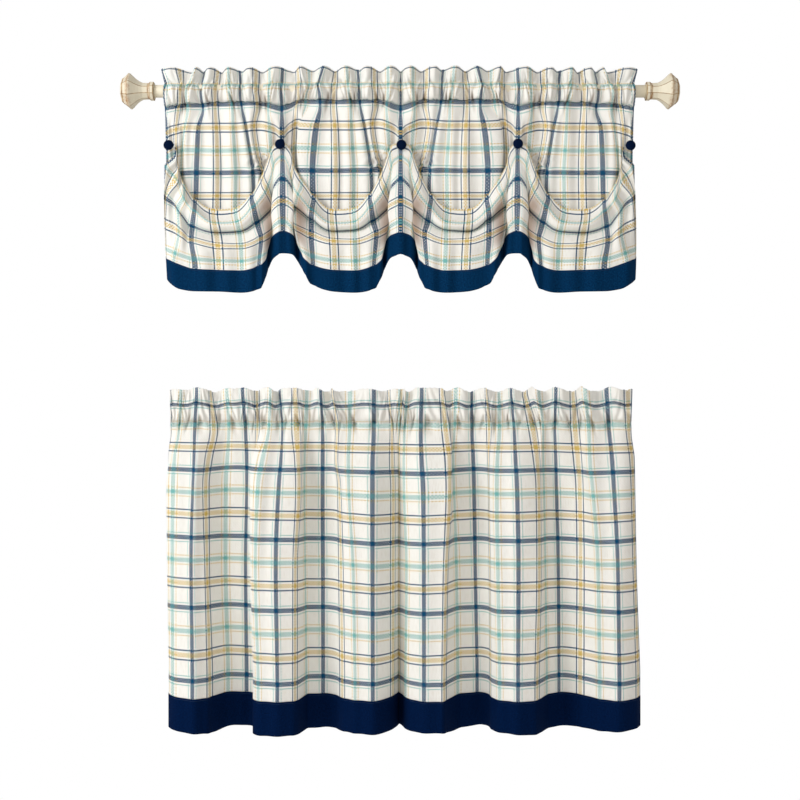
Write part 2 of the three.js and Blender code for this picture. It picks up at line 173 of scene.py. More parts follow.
FINIAL_SIDES = 8
RUBBED = {"thin": "bfa274", "bare": "7c5429"}  # the paint on an edge, and the wood under it
RUBBED_EDGE = {"width": 0.9, "steps": 2, "sharper_than": 27}  # mm, and degrees between its two faces
FINIAL_PROFILE = [  # along the rod, the distance to the flats, and how much the paint is worn there
    {"along": 0, "radius": 0, "wear": 0.3},
    {"along": 0, "radius": 14.4, "wear": 0.8},
    {"along": 0.8, "radius": 15.2, "wear": 0.35},
    {"along": 6.6, "radius": 15.2, "wear": 0.35},
    {"along": 8.0, "radius": 14.4, "wear": 1.3},
    {"along": 9.4, "radius": 13.2, "wear": 1.4},
    {"along": 13, "radius": 13.3, "wear": 0.4},
    {"along": 20, "radius": 13.7, "wear": 0.1},
    {"along": 25, "radius": 15.8, "wear": 0.1},
    {"along": 30, "radius": 19.2, "wear": 0.1},
    {"along": 34, "radius": 22.6, "wear": 0.2},
    {"along": 37.6, "radius": 26.2, "wear": 0.5},
    {"along": 40.6, "radius": 28.6, "wear": 0.9},
    {"along": 42, "radius": 29.0, "wear": 1.0},
    {"along": 43.4, "radius": 28.8, "wear": 0.9},
    {"along": 45, "radius": 27.2, "wear": 1.5},
    {"along": 46.6, "radius": 26.0, "wear": 1.2},
    {"along": 48.2, "radius": 24.8, "wear": 0.7},
    {"along": 51.2, "radius": 22.6, "wear": 0.8},
    {"along": 52.4, "radius": 21.2, "wear": 1.6},
    {"along": 53.6, "radius": 21.0, "wear": 1.2},
    {"along": 55.4, "radius": 19.4, "wear": 0.7},
    {"along": 57.4, "radius": 14.6, "wear": 0.6},
    {"along": 58.6, "radius": 8, "wear": 0.5},
    {"along": 59, "radius": 0, "wear": 0.5},
]


def wear_of(piece, sides):
    """Stores how worn the paint is, ring by ring, as a point attribute."""
    values = [FINIAL_PROFILE[0]["wear"]]
    for ring in FINIAL_PROFILE[1:-1]:
        values += [ring["wear"]] * sides
    values.append(FINIAL_PROFILE[-1]["wear"])
    attribute = piece.data.attributes.new("wear", "FLOAT", "POINT")
    attribute.data.foreach_set("value", values)


def rubbed_edge():
    """The same paint rubbed through on an edge, in patches down to bare brown wood, and a little duller."""
    material, tree = new_material("chalk paint rubbed through on an edge")
    place = add(tree, "ShaderNodeTexCoord").outputs["Object"]
    patch = add(tree, "ShaderNodeTexNoise", {"Vector": place, "Scale": 130.0, "Detail": 3.0})
    amount = add(tree, "ShaderNodeMapRange", {
        "Value": patch.outputs["Fac"], "From Min": 0.35, "From Max": 0.65})
    colour = add(tree, "ShaderNodeMix", {"Factor": amount.outputs["Result"]}, data_type="RGBA")
    colour.inputs["A"].default_value = linear(RUBBED["thin"])
    colour.inputs["B"].default_value = linear(RUBBED["bare"])
    finish_material(tree, add(tree, "ShaderNodeBsdfPrincipled", {
        "Base Color": colour.outputs["Result"], "Roughness": 0.6}))
    return material


rubbed = rubbed_edge()
to_corner = 1 / math.cos(math.pi / FINIAL_SIDES)
finial_profile = [(ring["along"], ring["radius"] * to_corner) for ring in FINIAL_PROFILE]
for node, side in (("finial_left", -1), ("finial_right", 1)):
    low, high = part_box(node)
    root = (high.x if side < 0 else low.x) * 1000
    finial = turned(node.replace("finial", "carved_finial"), finial_profile, FINIAL_SIDES, paint,
                    (side, 0, 0), (root, 0, 0), half_turn=0.5, smooth=False)
    wear_of(finial, FINIAL_SIDES)
    bevel = finial.modifiers.new("worn edges", "BEVEL")
    bevel.width = RUBBED_EDGE["width"] / 1000
    bevel.segments = RUBBED_EDGE["steps"]
    bevel.limit_method = "ANGLE"
    bevel.angle_limit = math.radians(RUBBED_EDGE["sharper_than"])
    bevel.material = 1
    finial.data.materials.append(rubbed)
    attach(finial, "root")
    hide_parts(node)

# ---- valance ---------------------------------------------------------------------------------
# One width of woven cotton plaid, gathered on the rod by a sewn pocket with a ruffled header above.
# A deep tuck is drawn up to five covered buttons, so that the cloth hangs in four pouched swags, and
# a border of plain navy cotton is sewn along its lower edge.

REPEAT = 122.75  # one repeat of the plaid, in mm, the same along and across the cloth
CLOTH = 0.9  # thickness of the cloth
EYE_DISTANCE = 2200.0  # The widths and heights below hold as seen from this far in front of the rod,
EYE_HEIGHT = -540.2  # level with this height: a fold that stands out is nearer, and looks larger.
IVORY, SHADED_IVORY, NAVY, MUSTARD, TEAL = "f3f2ed", "e8e5dd", "064266", "d3b666", "74b3b0"
BORDER_NAVY = {"dark": "011f3e", "light": "063a63"}
# One repeat, from the middle of its navy stripe: where each stripe's middle is, its width, and how fully
# its own yarns cover the ivory ones, running down the cloth and across it: 0.5 is half, and 1 is all.
PLAID = [
    {"centre": 0.0, "width": 7.8, "yarn": NAVY, "down": 0.745, "across": 0.745},
    {"centre": 7.9, "width": 1.8, "yarn": TEAL, "down": 0.5, "across": 0.55},
    {"centre": 34.7, "width": 2.5, "yarn": NAVY, "down": 0.86, "across": 0.88},
    {"centre": 42.6, "width": 7.8, "yarn": MUSTARD, "down": 0.5, "across": 0.52},
    {"centre": 50.5, "width": 2.5, "yarn": NAVY, "down": 0.86, "across": 0.88},
    {"centre": 75.0, "width": 1.9, "yarn": MUSTARD, "down": 0.5, "across": 0.55},
    {"centre": 82.9, "width": 7.6, "yarn": TEAL, "down": 0.5, "across": 0.52},
    {"centre": 90.8, "width": 1.9, "yarn": MUSTARD, "down": 0.5, "across": 0.55},
    {"centre": 114.85, "width": 1.8, "yarn": TEAL, "down": 0.5, "across": 0.55},
    {"centre": 122.75, "width": 7.8, "yarn": NAVY, "down": 0.745, "across": 0.745},
]
IN_CREASE = "8a6448"  # the warm shade of ivory cloth lit only through itself, deep in a crease
FLOAT = REPEAT / 48  # from one crossing of the yarns to the next: coarser than real, so that it shows
SLUBS = (0.5, 0.07, 1)  # uneven yarns, per mm: about 2 mm wide and 14 mm long, running down the cloth
IN_MM = (1000, 1000, 1000)  # turns the cloth's metres into mm


def yarns(tree, position, cover):
    """The colour of the yarn at a place along the cloth. Alpha is how fully it covers, 0 in the ground."""
    phase = add(tree, "ShaderNodeMath", {0: position, 1: REPEAT}, operation="FLOORED_MODULO")
    share = add(tree, "ShaderNodeMath", {0: phase.outputs[0], 1: REPEAT}, operation="DIVIDE")
    ramp = add(tree, "ShaderNodeValToRGB", {"Fac": share.outputs[0]})
    stops = ramp.color_ramp
    stops.interpolation = "CONSTANT"
    marks = []
    for stripe in PLAID:
        start, end = stripe["centre"] - stripe["width"] / 2, stripe["centre"] + stripe["width"] / 2
        marks.append((max(0.0, start) / REPEAT, linear(stripe["yarn"], stripe[cover])))
        if end < REPEAT:
            marks.append((end / REPEAT, linear(IVORY, 0.0)))
    stops.elements[0].color = marks[0][1]
    stops.elements[1].position = marks[1][0]
    stops.elements[1].color = marks[1][1]
    for place, colour in marks[2:]:
        stops.elements.new(place).color = colour
    return ramp


def over_and_under(tree, across, down):
    """The height of the yarns running down the cloth over those running across it, from 0 to 1."""
    waves = []
    for position in (across, down):
        turns = add(tree, "ShaderNodeMath", {0: position, 1: math.pi / FLOAT}, operation="MULTIPLY")
        waves.append(add(tree, "ShaderNodeMath", {0: turns.outputs[0]}, operation="SINE").outputs[0])
    product = add(tree, "ShaderNodeMath", {0: waves[0], 1: waves[1]}, operation="MULTIPLY")
    height = add(tree, "ShaderNodeMath", {0: product.outputs[0], 1: 0.5, 2: 0.5}, operation="MULTIPLY_ADD")
    return height.outputs[0]


def woven_plaid():
    """Yarn-dyed cotton in plain weave: matt, soft, its stripes flecked with the ivory yarns they cross."""
    material, tree = new_material("woven cotton plaid")
    cloth = add(tree, "ShaderNodeUVMap", uv_map="cloth").outputs["UV"]
    scaled = add(tree, "ShaderNodeVectorMath", {0: cloth, 1: IN_MM}, operation="MULTIPLY")
    parts = add(tree, "ShaderNodeSeparateXYZ", {0: scaled.outputs[0]})
    across, down = parts.outputs["X"], parts.outputs["Y"]
    warp, weft = yarns(tree, across, "down"), yarns(tree, down, "across")
    height = over_and_under(tree, across, down)
    striped = add(tree, "ShaderNodeMath", {0: weft.outputs["Alpha"], 1: 0.1}, operation="GREATER_THAN")
    room = add(tree, "ShaderNodeMath", {0: striped.outputs[0], 1: -0.5, 2: 1.0}, operation="MULTIPLY_ADD")
    limit = add(tree, "ShaderNodeMath", {0: warp.outputs["Alpha"], 1: room.outputs[0]}, operation="MINIMUM")
    warp_shows = add(tree, "ShaderNodeMath", {0: height, 1: limit.outputs[0]}, operation="LESS_THAN")
    below = add(tree, "ShaderNodeMath", {0: 1.0, 1: height}, operation="SUBTRACT")
    weft_shows = add(tree, "ShaderNodeMath", {
        0: below.outputs[0], 1: weft.outputs["Alpha"]}, operation="LESS_THAN")
    stretched = add(tree, "ShaderNodeVectorMath", {0: scaled.outputs[0], 1: SLUBS}, operation="MULTIPLY")
    slub = add(tree, "ShaderNodeTexNoise", {"Vector": stretched.outputs[0], "Scale": 1.0, "Detail": 3.0})
    uneven = add(tree, "ShaderNodeMapRange", {
        "Value": slub.outputs["Fac"], "From Min": 0.45, "From Max": 0.8})
    ground = add(tree, "ShaderNodeMix", {"Factor": uneven.outputs["Result"]}, data_type="RGBA")
    ground.inputs["A"].default_value = linear(IVORY)
    ground.inputs["B"].default_value = linear(SHADED_IVORY)
    crosswise = add(tree, "ShaderNodeMix", {"Factor": weft_shows.outputs[0]}, data_type="RGBA")
    tree.links.new(ground.outputs["Result"], crosswise.inputs["A"])
    tree.links.new(weft.outputs["Color"], crosswise.inputs["B"])
    both = add(tree, "ShaderNodeMix", {"Factor": warp_shows.outputs[0]}, data_type="RGBA")
    tree.links.new(crosswise.outputs["Result"], both.inputs["A"])
    tree.links.new(warp.outputs["Color"], both.inputs["B"])
    # Painted shade: the colour is multiplied towards a warm brown where the cloth lies in creases, behind
    # gathers, in the pouches' ends and beside the pleats.
    painted_shade_amount = add(tree, "ShaderNodeAttribute", attribute_name="painted_shade").outputs["Fac"]
    shaded = add(tree, "ShaderNodeMix", {"Factor": painted_shade_amount}, data_type="RGBA", blend_type="MULTIPLY")
    tree.links.new(both.outputs["Result"], shaded.inputs["A"])
    shaded.inputs["B"].default_value = linear(IN_CREASE)
    bump = add(tree, "ShaderNodeBump", {"Height": height, "Strength": 0.25, "Distance": 0.0004})
    finish_material(tree, add(tree, "ShaderNodeBsdfPrincipled", {
        "Base Color": shaded.outputs["Result"], "Normal": bump.outputs[0], "Roughness": 0.92,
        "Specular IOR Level": 0.2}))
    return material


def plain_navy(name, dark, light):
    """Plain-woven navy cotton: matt, nearly even, with a faint lighter fleck where the yarns cross."""
    material, tree = new_material(name)
    cloth = add(tree, "ShaderNodeUVMap", uv_map="cloth").outputs["UV"]
    scaled = add(tree, "ShaderNodeVectorMath", {0: cloth, 1: IN_MM}, operation="MULTIPLY")
    fleck = add(tree, "ShaderNodeTexNoise", {"Vector": scaled.outputs[0], "Scale": 0.45, "Detail": 3.0})
    shade = add(tree, "ShaderNodeMapRange", {
        "Value": fleck.outputs["Fac"], "From Min": 0.3, "From Max": 0.75})
    colour = add(tree, "ShaderNodeMix", {"Factor": shade.outputs["Result"]}, data_type="RGBA")
    colour.inputs["A"].default_value = linear(dark)
    colour.inputs["B"].default_value = linear(light)
    bump = add(tree, "ShaderNodeBump", {
        "Height": fleck.outputs["Fac"], "Strength": 0.2, "Distance": 0.0004})
    finish_material(tree, add(tree, "ShaderNodeBsdfPrincipled", {
        "Base Color": colour.outputs["Result"], "Normal": bump.outputs[0], "Roughness": 0.85,
        "Specular IOR Level": 0.03}))
    return material


plaid = woven_plaid()
navy = plain_navy("plain woven navy cotton", **BORDER_NAVY)


def through(at, knots, values):
    """A smooth curve through knots that never overshoots. Values may hold a whole row for each knot."""
    knots, values, at = np.asarray(knots, float), np.asarray(values, float), np.asarray(at, float)
    column = (slice(None),) + (None,) * (values.ndim - 1)
    steps = np.diff(knots)[column]
    slopes = np.diff(values, axis=0) / steps
    tangents = np.zeros_like(values)
    before, after = slopes[:-1], slopes[1:]
    turning = before * after > 0
    tangents[1:-1] = np.where(turning, 2 * before * after / np.where(turning, before + after, 1), 0)
    tangents[0], tangents[-1] = slopes[0], slopes[-1]
    span = np.clip(np.searchsorted(knots, at, side="right") - 1, 0, len(knots) - 2)
    width = (knots[span + 1] - knots[span])[column]
    u = (np.clip(at, knots[0], knots[-1]) - knots[span])[column] / width
    leaving = (2 * u ** 3 - 3 * u ** 2 + 1) * values[span]
    leaving = leaving + (u ** 3 - 2 * u ** 2 + u) * width * tangents[span]
    arriving = (3 * u ** 2 - 2 * u ** 3) * values[span + 1]
    arriving = arriving + (u ** 3 - u ** 2) * width * tangents[span + 1]
    return leaving + arriving


def ease(value):
    """0 below 0 and 1 above 1, with a smooth step between."""
    value = np.clip(value, 0, 1)
    return value * value * (3 - 2 * value)


def rise(value, start, full):
    """0 up to the start and 1 from full on, with a smooth step between."""
    return ease((value - start) / (full - start))


def bump_at(value, centre, width):
    """1 at the centre, and fading out smoothly at a width to each side."""
    return 1 - ease(np.abs(value - centre) / width)


def as_seen(x, z, out):
    """Points in mm, from where the eye sees them and how far each stands out in front of the rod."""
    nearer = (EYE_DISTANCE - out) / EYE_DISTANCE
    return np.stack([x * nearer, -out, EYE_HEIGHT + (z - EYE_HEIGHT) * nearer], axis=-1)


def cloth_sheet(name, surface, across, down, material, thickness):
    """A sheet from rows of points, top row first, each from left to right, and the shade painted into each
    point's colour.

    The UV map holds the cloth's own metres."""
    points, painted_shade = surface
    size = points.shape[:2]
    index = np.arange(points.size // 3).reshape(size)
    faces = np.stack([index[:-1, :-1], index[1:, :-1], index[1:, 1:], index[:-1, 1:]], axis=-1)
    piece = mesh_object(name, points.reshape(-1, 3).tolist(), faces.reshape(-1, 4).tolist(), material)
    layer = piece.data.uv_layers.new(name="cloth")
    corners = np.zeros(len(piece.data.loops), int)
    piece.data.loops.foreach_get("vertex_index", corners)
    own = np.stack([np.broadcast_to(across, size), np.broadcast_to(down, size)], axis=-1)
    layer.data.foreach_set("uv", (own.reshape(-1, 2)[corners] / 1000).ravel())
    # The shade painted into the cloth's colour is stored on each point.
    deep = piece.data.attributes.new("painted_shade", "FLOAT", "POINT")
    deep.data.foreach_set("value", np.clip(painted_shade, 0, 1).ravel())
    solid = piece.modifiers.new("cloth thickness", "SOLIDIFY")
    solid.thickness = thickness / 1000
    solid.offset = 0
    return piece


SWAG = 3 * REPEAT  # cloth in one swag
BUTTON_X = {"middle": 1.0, "second": -206.0}  # the two inner buttons of the left half
# Places across a swag's cloth, from the button nearer the middle to the next one outwards.
STATIONS = [0, 30, 60, 90, 123, 164, 205, 246, 275, 297, 319, 345, 368.25]
# Lines along the swag's cloth: how much cloth hangs above each, and where it hangs at each station.
ACROSS = [  # mm from the button nearer the middle
    {"cloth": 0, "x": [-2, 16, 34, 53, 76, 95, 115, 135, 155, 168, 177, 191, 207.5]},
    {"cloth": 40, "x": [0, 16, 33, 52, 73, 92, 117, 144, 155, 164, 174, 190, 208]},
    {"cloth": 60, "x": [0, 17, 33, 50, 73, 90, 118, 141, 160, 169, 175, 189, 208]},
    {"cloth": 84, "x": [0, 20, 33, 50, 71, 88, 119, 141, 161, 172, 180, 192, 208]},
    {"cloth": 120, "x": [0, 15, 38, 54, 64, 87, 117, 148, 178, 172, 182, 195, 208]},
    {"cloth": 160, "x": [0, 14, 33, 49, 57.5, 85, 116, 152.7, 182, 168, 184, 196, 207]},
    {"cloth": 200, "x": [0, 14, 28, 40, 52, 83, 115.6, 155, 180, 168, 184, 196, 207]},
    {"cloth": 262, "x": [0, 13, 27, 38, 50, 84, 116.4, 153.4, 175, 180, 186, 196, 207]},
    {"cloth": 318, "x": [0, 12, 26, 38, 50, 83, 117, 153, 170, 180, 187, 196, 207]},
    {"cloth": 370, "x": [0, 15, 27, 38, 54, 83, 122.7, 153, 168, 179, 187, 194, 207]},
    {"cloth": 405, "x": [0, 13, 22, 32, 52, 82, 122, 156, 175, 184, 190, 197, 207]},
    {"cloth": 444, "x": [0, 17, 16, 20, 49, 81.7, 120.6, 157, 179, 190, 193, 190, 207]},
    {"cloth": 488, "x": [0, 22, 20, 23, 43, 81.6, 119, 157, 180, 185.5, 189, 187, 207]},
    {"cloth": 548, "x": [0, 18, 29, 33, 47, 80, 117, 154, 170, 174, 181, 192, 206]},
    {"cloth": 585, "x": [0, 18, 29, 35, 47, 80, 117, 154, 168, 172, 178, 190, 206]},
]
HEIGHT = [  # mm above the rod's axis
    {"cloth": 71,
     "z": [-23, -18, -14.5, -13.8, -13.8, -13.8, -13.8, -13.8, -13.8, -13.8, -14.5, -18, -23]},
    {"cloth": 84,
     "z": [-39, -33, -25.5, -24.5, -25.5, -26.5, -26.5, -26.5, -25.5, -24.5, -25.5, -33, -39]},
    {"cloth": 120,
     "z": [-73.5, -64, -57, -57.5, -59.5, -60.5, -60.5, -60.5, -59, -57.5, -57, -64, -73.5]},
    {"cloth": 139, "z": [-92, -84, -77, -77, -78.5, -79.5, -79.5, -79.5, -78, -77, -77, -84, -92]},
    {"cloth": 160, "z": [-114, -106, -99, -98, -99, -100.2, -100.7, -100.2, -99, -98, -99, -106, -114]},
    {"cloth": 200,
     "z": [-150, -145, -140, -138, -138.5, -139, -139.5, -139, -138.5, -138, -140, -145, -150]},
    {"cloth": 233,
     "z": [-173, -172.5, -173.5, -175, -176, -176.6, -176.6, -176.6, -176, -175, -173.5, -172.5, -173]},
    {"cloth": 251,
     "z": [-184, -185, -187.5, -188.5, -189.5, -189.5, -189.5, -189.5, -189.5, -188.5, -187.5, -185, -184]},
    {"cloth": 312, "z": [-205, -212, -226, -238, -247, -253, -255, -253, -247, -238, -226, -212, -205]},
    {"cloth": 318, "z": [-205, -212, -226, -238, -247, -253, -255, -253, -247, -238, -226, -212, -205]},
    {"cloth": 361,
     "z": [-93, -97, -129, -155, -182, -203.5, -204.8, -183.5, -164, -148, -132, -103, -93]},
    {"cloth": 366,
     "z": [-90, -94, -126, -152, -179, -200.5, -201.8, -180.5, -161, -145, -129, -100, -90]},
    {"cloth": 371,
     "z": [-95.8, -100.7, -132.7, -158.2, -184.3, -207.5, -209, -186.6, -166.8, -152, -136, -106.2, -95.8]},
    {"cloth": 376,
     "z": [-100.8, -106.6, -138.6, -163.7, -188.9, -212.3, -213.7, -192, -171.8, -158.1, -142.1,
           -111.7, -100.8]},
    {"cloth": 390,
     "z": [-108, -115, -147, -171.5, -195.5, -219.2, -220.4, -199.6, -179, -166.8, -150.8, -119.5, -108]},
    {"cloth": 405, "z": [-114, -122, -154, -178, -201, -225, -226, -206, -185, -174, -158, -126, -114]},
    {"cloth": 420, "z": [-128, -139, -168, -188, -212, -233, -234, -215, -196, -185, -172, -142, -128]},
    {"cloth": 432, "z": [-140, -154, -181, -196, -220, -239, -240.5, -220, -203, -193, -184, -156, -140]},
    {"cloth": 446, "z": [-154, -172, -195, -203, -227, -243, -245, -223, -206, -199, -194, -173, -154]},
    {"cloth": 462, "z": [-168, -183, -208, -217, -236, -250, -251, -235, -221, -213, -208, -184, -168]},
    {"cloth": 480,
     "z": [-184.6, -197, -224, -233, -245, -259, -257.5, -244.5, -235, -231, -224, -198, -184.6]},
    {"cloth": 496, "z": [-199, -211, -238, -247, -257, -268, -268, -258, -246, -243, -237, -212, -199]},
    {"cloth": 528, "z": [-228, -238, -262, -279, -289, -297, -296, -288.5, -279, -274, -262, -239, -228]},
    {"cloth": 548, "z": [-248, -254, -274, -294, -306, -315, -314, -305, -291, -282, -266, -250, -246]},
    {"cloth": 585,
     "z": [-284.6, -292, -312, -328, -346, -352.5, -350.5, -338.5, -318, -310, -300, -285, -283.5]},
]
OUT = [  # mm in front of the rod's axis
    {"cloth": 71, "out": [6, 6, 6, 6.5, 6.5, 6.5, 6.5, 6.5, 6.5, 6.5, 6, 6, 6]},
    {"cloth": 84, "out": [10, 8, 7, 8, 10, 11, 11, 11, 10, 8, 7, 8, 10]},
    {"cloth": 120, "out": [15, 12, 6, 9, 12, 12, 12, 12, 13, 8, 4, 9, 15]},
    {"cloth": 139, "out": [9, 9, 6, 9, 12, 13, 13, 13, 13, 8, 4, 6, 9]},
    {"cloth": 160, "out": [4, 5, 6, 9, 11, 13, 14, 13, 13, 9, 5, 4, 4]},
    {"cloth": 200, "out": [2, 3, 4, 7, 10, 13, 14, 13, 12, 8, 4, 3, 2]},
    {"cloth": 243, "out": [1, 2, 3, 6, 10, 13, 14, 13, 10, 7, 4, 2, 1]},
    {"cloth": 312, "out": [2, 2.5, 4, 7, 10, 12, 13, 12, 10, 7, 4, 3, 2]},
    {"cloth": 318, "out": [7, 7.5, 9, 12, 16, 18, 19, 18, 16, 12, 9, 8, 7]},
    {"cloth": 361, "out": [13, 13, 14, 16, 18, 20, 20, 20, 18, 16, 14, 13, 13]},
    {"cloth": 366, "out": [15.5, 15.5, 17, 19, 21, 23.5, 24, 23.5, 21, 19, 17, 15.5, 15.5]},
    {"cloth": 371, "out": [18, 18.5, 20, 22, 24, 27, 27, 27, 24, 22, 20, 18.5, 18]},
    {"cloth": 376, "out": [18, 18.5, 20.5, 24, 27, 29.5, 29.5, 29.5, 27, 24, 20.5, 18.5, 18]},
    {"cloth": 390, "out": [18.3, 19, 22, 30, 35, 37.5, 37.5, 37.5, 35, 30, 22, 19, 18.3]},
    {"cloth": 405, "out": [18.6, 20, 22, 33, 41, 46, 46, 46, 40, 33, 22, 20, 18.6]},
    {"cloth": 420, "out": [22, 21, 18, 34, 44, 49, 49, 49, 44, 34, 18, 21, 22]},
    {"cloth": 432, "out": [26, 24, 16, 32, 40, 44, 44, 44, 40, 32, 16, 24, 26]},
    {"cloth": 446, "out": [30, 27, 14, 26, 29, 28, 28, 28, 29, 26, 14, 27, 30]},
    {"cloth": 462, "out": [33, 30, 12, 32, 40, 42, 42, 42, 40, 32, 12, 30, 33]},
    {"cloth": 480, "out": [37, 33, 11, 36, 46, 50, 50, 50, 46, 36, 11, 33, 37]},
    {"cloth": 496, "out": [39, 34, 10, 38, 48, 51, 51, 51, 48, 38, 10, 34, 39]},
    {"cloth": 528, "out": [43, 37, 20, 38, 47, 46, 45, 46, 47, 39, 20, 37, 43]},
    {"cloth": 548, "out": [44, 38, 20, 39, 47, 47, 46, 47, 47, 40, 20, 38, 44]},
    {"cloth": 585, "out": [46, 40, 21, 41, 50, 49, 48, 49, 50, 42, 21, 40, 46]},
]
# The outer swag's outer side has no pleat: it hangs free and turns back to the wall.
EDGE_FROM = 7  # the first station that differs
EDGE_ACROSS = {
    0: [137, 148, 157, 174, 188, 203], 50: [141.4, 160, 170, 173.5, 186, 205.5],
    78: [138, 159, 171, 178, 193, 205], 120: [147.5, 166, 175.5, 183, 195, 204],
    200: [151, 173.5, 180.5, 184, 192, 202], 366: [153.6, 166.8, 176.4, 181.6, 184, 187],
    405: [154.5, 168.5, 177, 182.5, 199, 206], 444: [158, 177, 189, 202, 207, 206],
    488: [160, 176, 187, 204, 206, 205], 548: [153, 183, 196, 202, 203, 203],
    585: [153, 182, 193, 199, 201, 201],
}
EDGE_HEIGHT = {
    71: [-16.6, -16.6, -16.6, -17, -19, -22], 120: [-60.5, -60, -61, -63, -66, -70],
    139: [-79.5, -79, -80, -82, -86, -90], 200: [-139, -140, -141, -143, -147, -150],
    233: [-176.6, -176.6, -176.4, -176, -175, -174], 251: [-189.5, -189.5, -189, -188, -186.5, -185],
    312: [-253, -247, -240, -230, -217, -208], 318: [-253, -247, -240, -230, -217, -208],
    361: [-190.6, -173, -156.5, -137, -119.7, -100.5], 366: [-187.6, -170, -153.5, -134, -116.7, -97.5],
    371: [-192.5, -175.8, -158.9, -139.5, -122, -105.5],
    376: [-196.8, -180.8, -163.6, -144.3, -126.6, -112.6],
    390: [-202.9, -188, -170.4, -151.2, -133.1, -122.6], 405: [-208, -194, -176, -157, -138.6, -131],
    446: [-237, -217, -199, -190, -186, -182], 488: [-260, -249, -241, -233, -231, -230],
    528: [-293.5, -286, -281, -277, -275, -274], 548: [-312, -303, -297, -294, -291, -290],
    585: [-350, -345.5, -338, -332, -328, -326],
}
EDGE_OUT = {
    71: [6.5, 6.5, 6, 6, 5, 4], 139: [13, 12, 11, 10, 8, 8],
    200: [12, 10, 8, 6, 4, 2], 312: [11, 9, 7, 5, 3, 2],
    318: [17, 15, 13, 10, 8, 7], 361: [18, 16, 15, 14, 13, 13],
    366: [22, 20, 18, 17, 16, 16], 371: [25, 22, 20, 19, 18, 18],
    376: [28, 25, 22, 20, 19, 18], 405: [44, 38, 30, 25, 20, 18],
    446: [30, 30, 24, 19, 13, 9], 488: [50, 46, 36, 24, 13, 4],
    548: [47, 43, 36, 20, 8, -2], 585: [48, 44, 37, 20, 8, -2],
}
# Crests, 1, and troughs, -1, of the header along the left half's cloth, from the middle outwards.
GATHERS = [
    {"cloth": 4, "lift": -1.0}, {"cloth": 32, "lift": 1.0}, {"cloth": 64, "lift": -0.9},
    {"cloth": 100, "lift": 0.9}, {"cloth": 118, "lift": -0.6}, {"cloth": 168, "lift": 1.0},
    {"cloth": 205, "lift": -0.9}, {"cloth": 245, "lift": 0.9}, {"cloth": 274, "lift": -0.8},
    {"cloth": 314, "lift": 0.9}, {"cloth": 339, "lift": -1.0}, {"cloth": 395, "lift": 1.0},
    {"cloth": 432, "lift": -0.8}, {"cloth": 466, "lift": 0.9}, {"cloth": 484, "lift": -0.6},
    {"cloth": 531, "lift": 0.9}, {"cloth": 559, "lift": -0.9}, {"cloth": 594, "lift": 0.9},
    {"cloth": 619, "lift": -0.8}, {"cloth": 648, "lift": 0.9}, {"cloth": 670, "lift": -0.8},
    {"cloth": 714, "lift": 0.8}, {"cloth": 736.5, "lift": 0.0},
]
HEADER = [  # the pocket's section: cloth from the top fold, negative at the back
    {"cloth": -70, "out": 4.0, "z": -18.2, "gather": 2.0, "pucker": 0.8},
    {"cloth": -60, "out": -8.0, "z": -14.5, "gather": 1.5, "pucker": 0.6},
    {"cloth": -50, "out": -13.4, "z": -5.0, "gather": 1.0, "pucker": 0.5},
    {"cloth": -40, "out": -12.4, "z": 6.0, "gather": 1.0, "pucker": 0.5},
    {"cloth": -31, "out": -2.0, "z": 14.4, "gather": 1.6, "pucker": 0.6},
    {"cloth": -15, "out": -4.8, "z": 28.0, "gather": 8.5, "pucker": 0.8},
    {"cloth": -1, "out": -4.8, "z": 41.6, "gather": 10.5, "pucker": 0.4},
    {"cloth": 0, "out": -3.8, "z": 42.0, "gather": 10.5, "pucker": 0.4},
    {"cloth": 1, "out": -3.0, "z": 41.6, "gather": 10.5, "pucker": 0.4},
    {"cloth": 15, "out": -0.8, "z": 28.5, "gather": 8.8, "pucker": 1.4},
    {"cloth": 25, "out": 1.2, "z": 18.5, "gather": 5.6, "pucker": 2.4},
    {"cloth": 30, "out": 1.0, "z": 14.4, "gather": 2.6, "pucker": 1.4},
    {"cloth": 34, "out": 6.4, "z": 12.2, "gather": 4.0, "pucker": 2.2},
    {"cloth": 38, "out": 11.4, "z": 9.0, "gather": 5.0, "pucker": 2.6},
    {"cloth": 45, "out": 17.0, "z": 2.6, "gather": 6.2, "pucker": 2.4},
    {"cloth": 52, "out": 18.6, "z": -3.4, "gather": 6.8, "pucker": 2.4},
    {"cloth": 60, "out": 17.0, "z": -9.8, "gather": 6.6, "pucker": 2.8},
    {"cloth": 66, "out": 13.0, "z": -13.4, "gather": 5.4, "pucker": 2.8},
    {"cloth": 71, "out": 6.2, "z": -14.6, "gather": 2.6, "pucker": 1.2},
]
BUTTON_HEIGHT = -92.0
POCKET_END = 71  # cloth from the top fold to the pocket's lower seam
SEAM_HEIGHT = -13.8  # of that seam in a swag's middle; beside a button the swag's weight draws it down
RUFFLE_FOOT = {"cloth": 30, "z": 14.4}  # the pocket's upper seam, where the ruffle starts
RUFFLE_REACH = 33.0  # how far a ruffle could lean out if it lay flat
NAVY_LINE = 76.6  # cloth from the top fold to the first navy stripe's middle
FREE_SIDE = 236  # cloth beyond the second button, where the outer swag starts to hang free
CREASES = [53, 75, 143, 159, 222, 300, 316, 419, 438, 525, 593, 662, 677]  # along the left half's cloth
CREASE = {"half_width": 7, "in": 7, "up": 1.5}  # each is pressed in and drawn up beside the pocket's seam
RIDGE = {"seam": 2.0, "more": 3.0, "full": 83, "gone": 146}  # the gathers' ridges below the pocket's seam
PUCKER = {"out": 1.1, "gone": 93, "up": 1.2, "reach": 14}  # the small puckers along that seam
TOP_FOLD_RISE = 1.6  # how far the ruffle's top fold rises and falls with its gathers
SKIRT = {"start": 450, "full": 530}  # the cloth from the top fold that hangs free under the pouches
SEEN = {"start": 40, "full": 100}  # the pocket keeps its true size; lower cloth is where the eye sees it
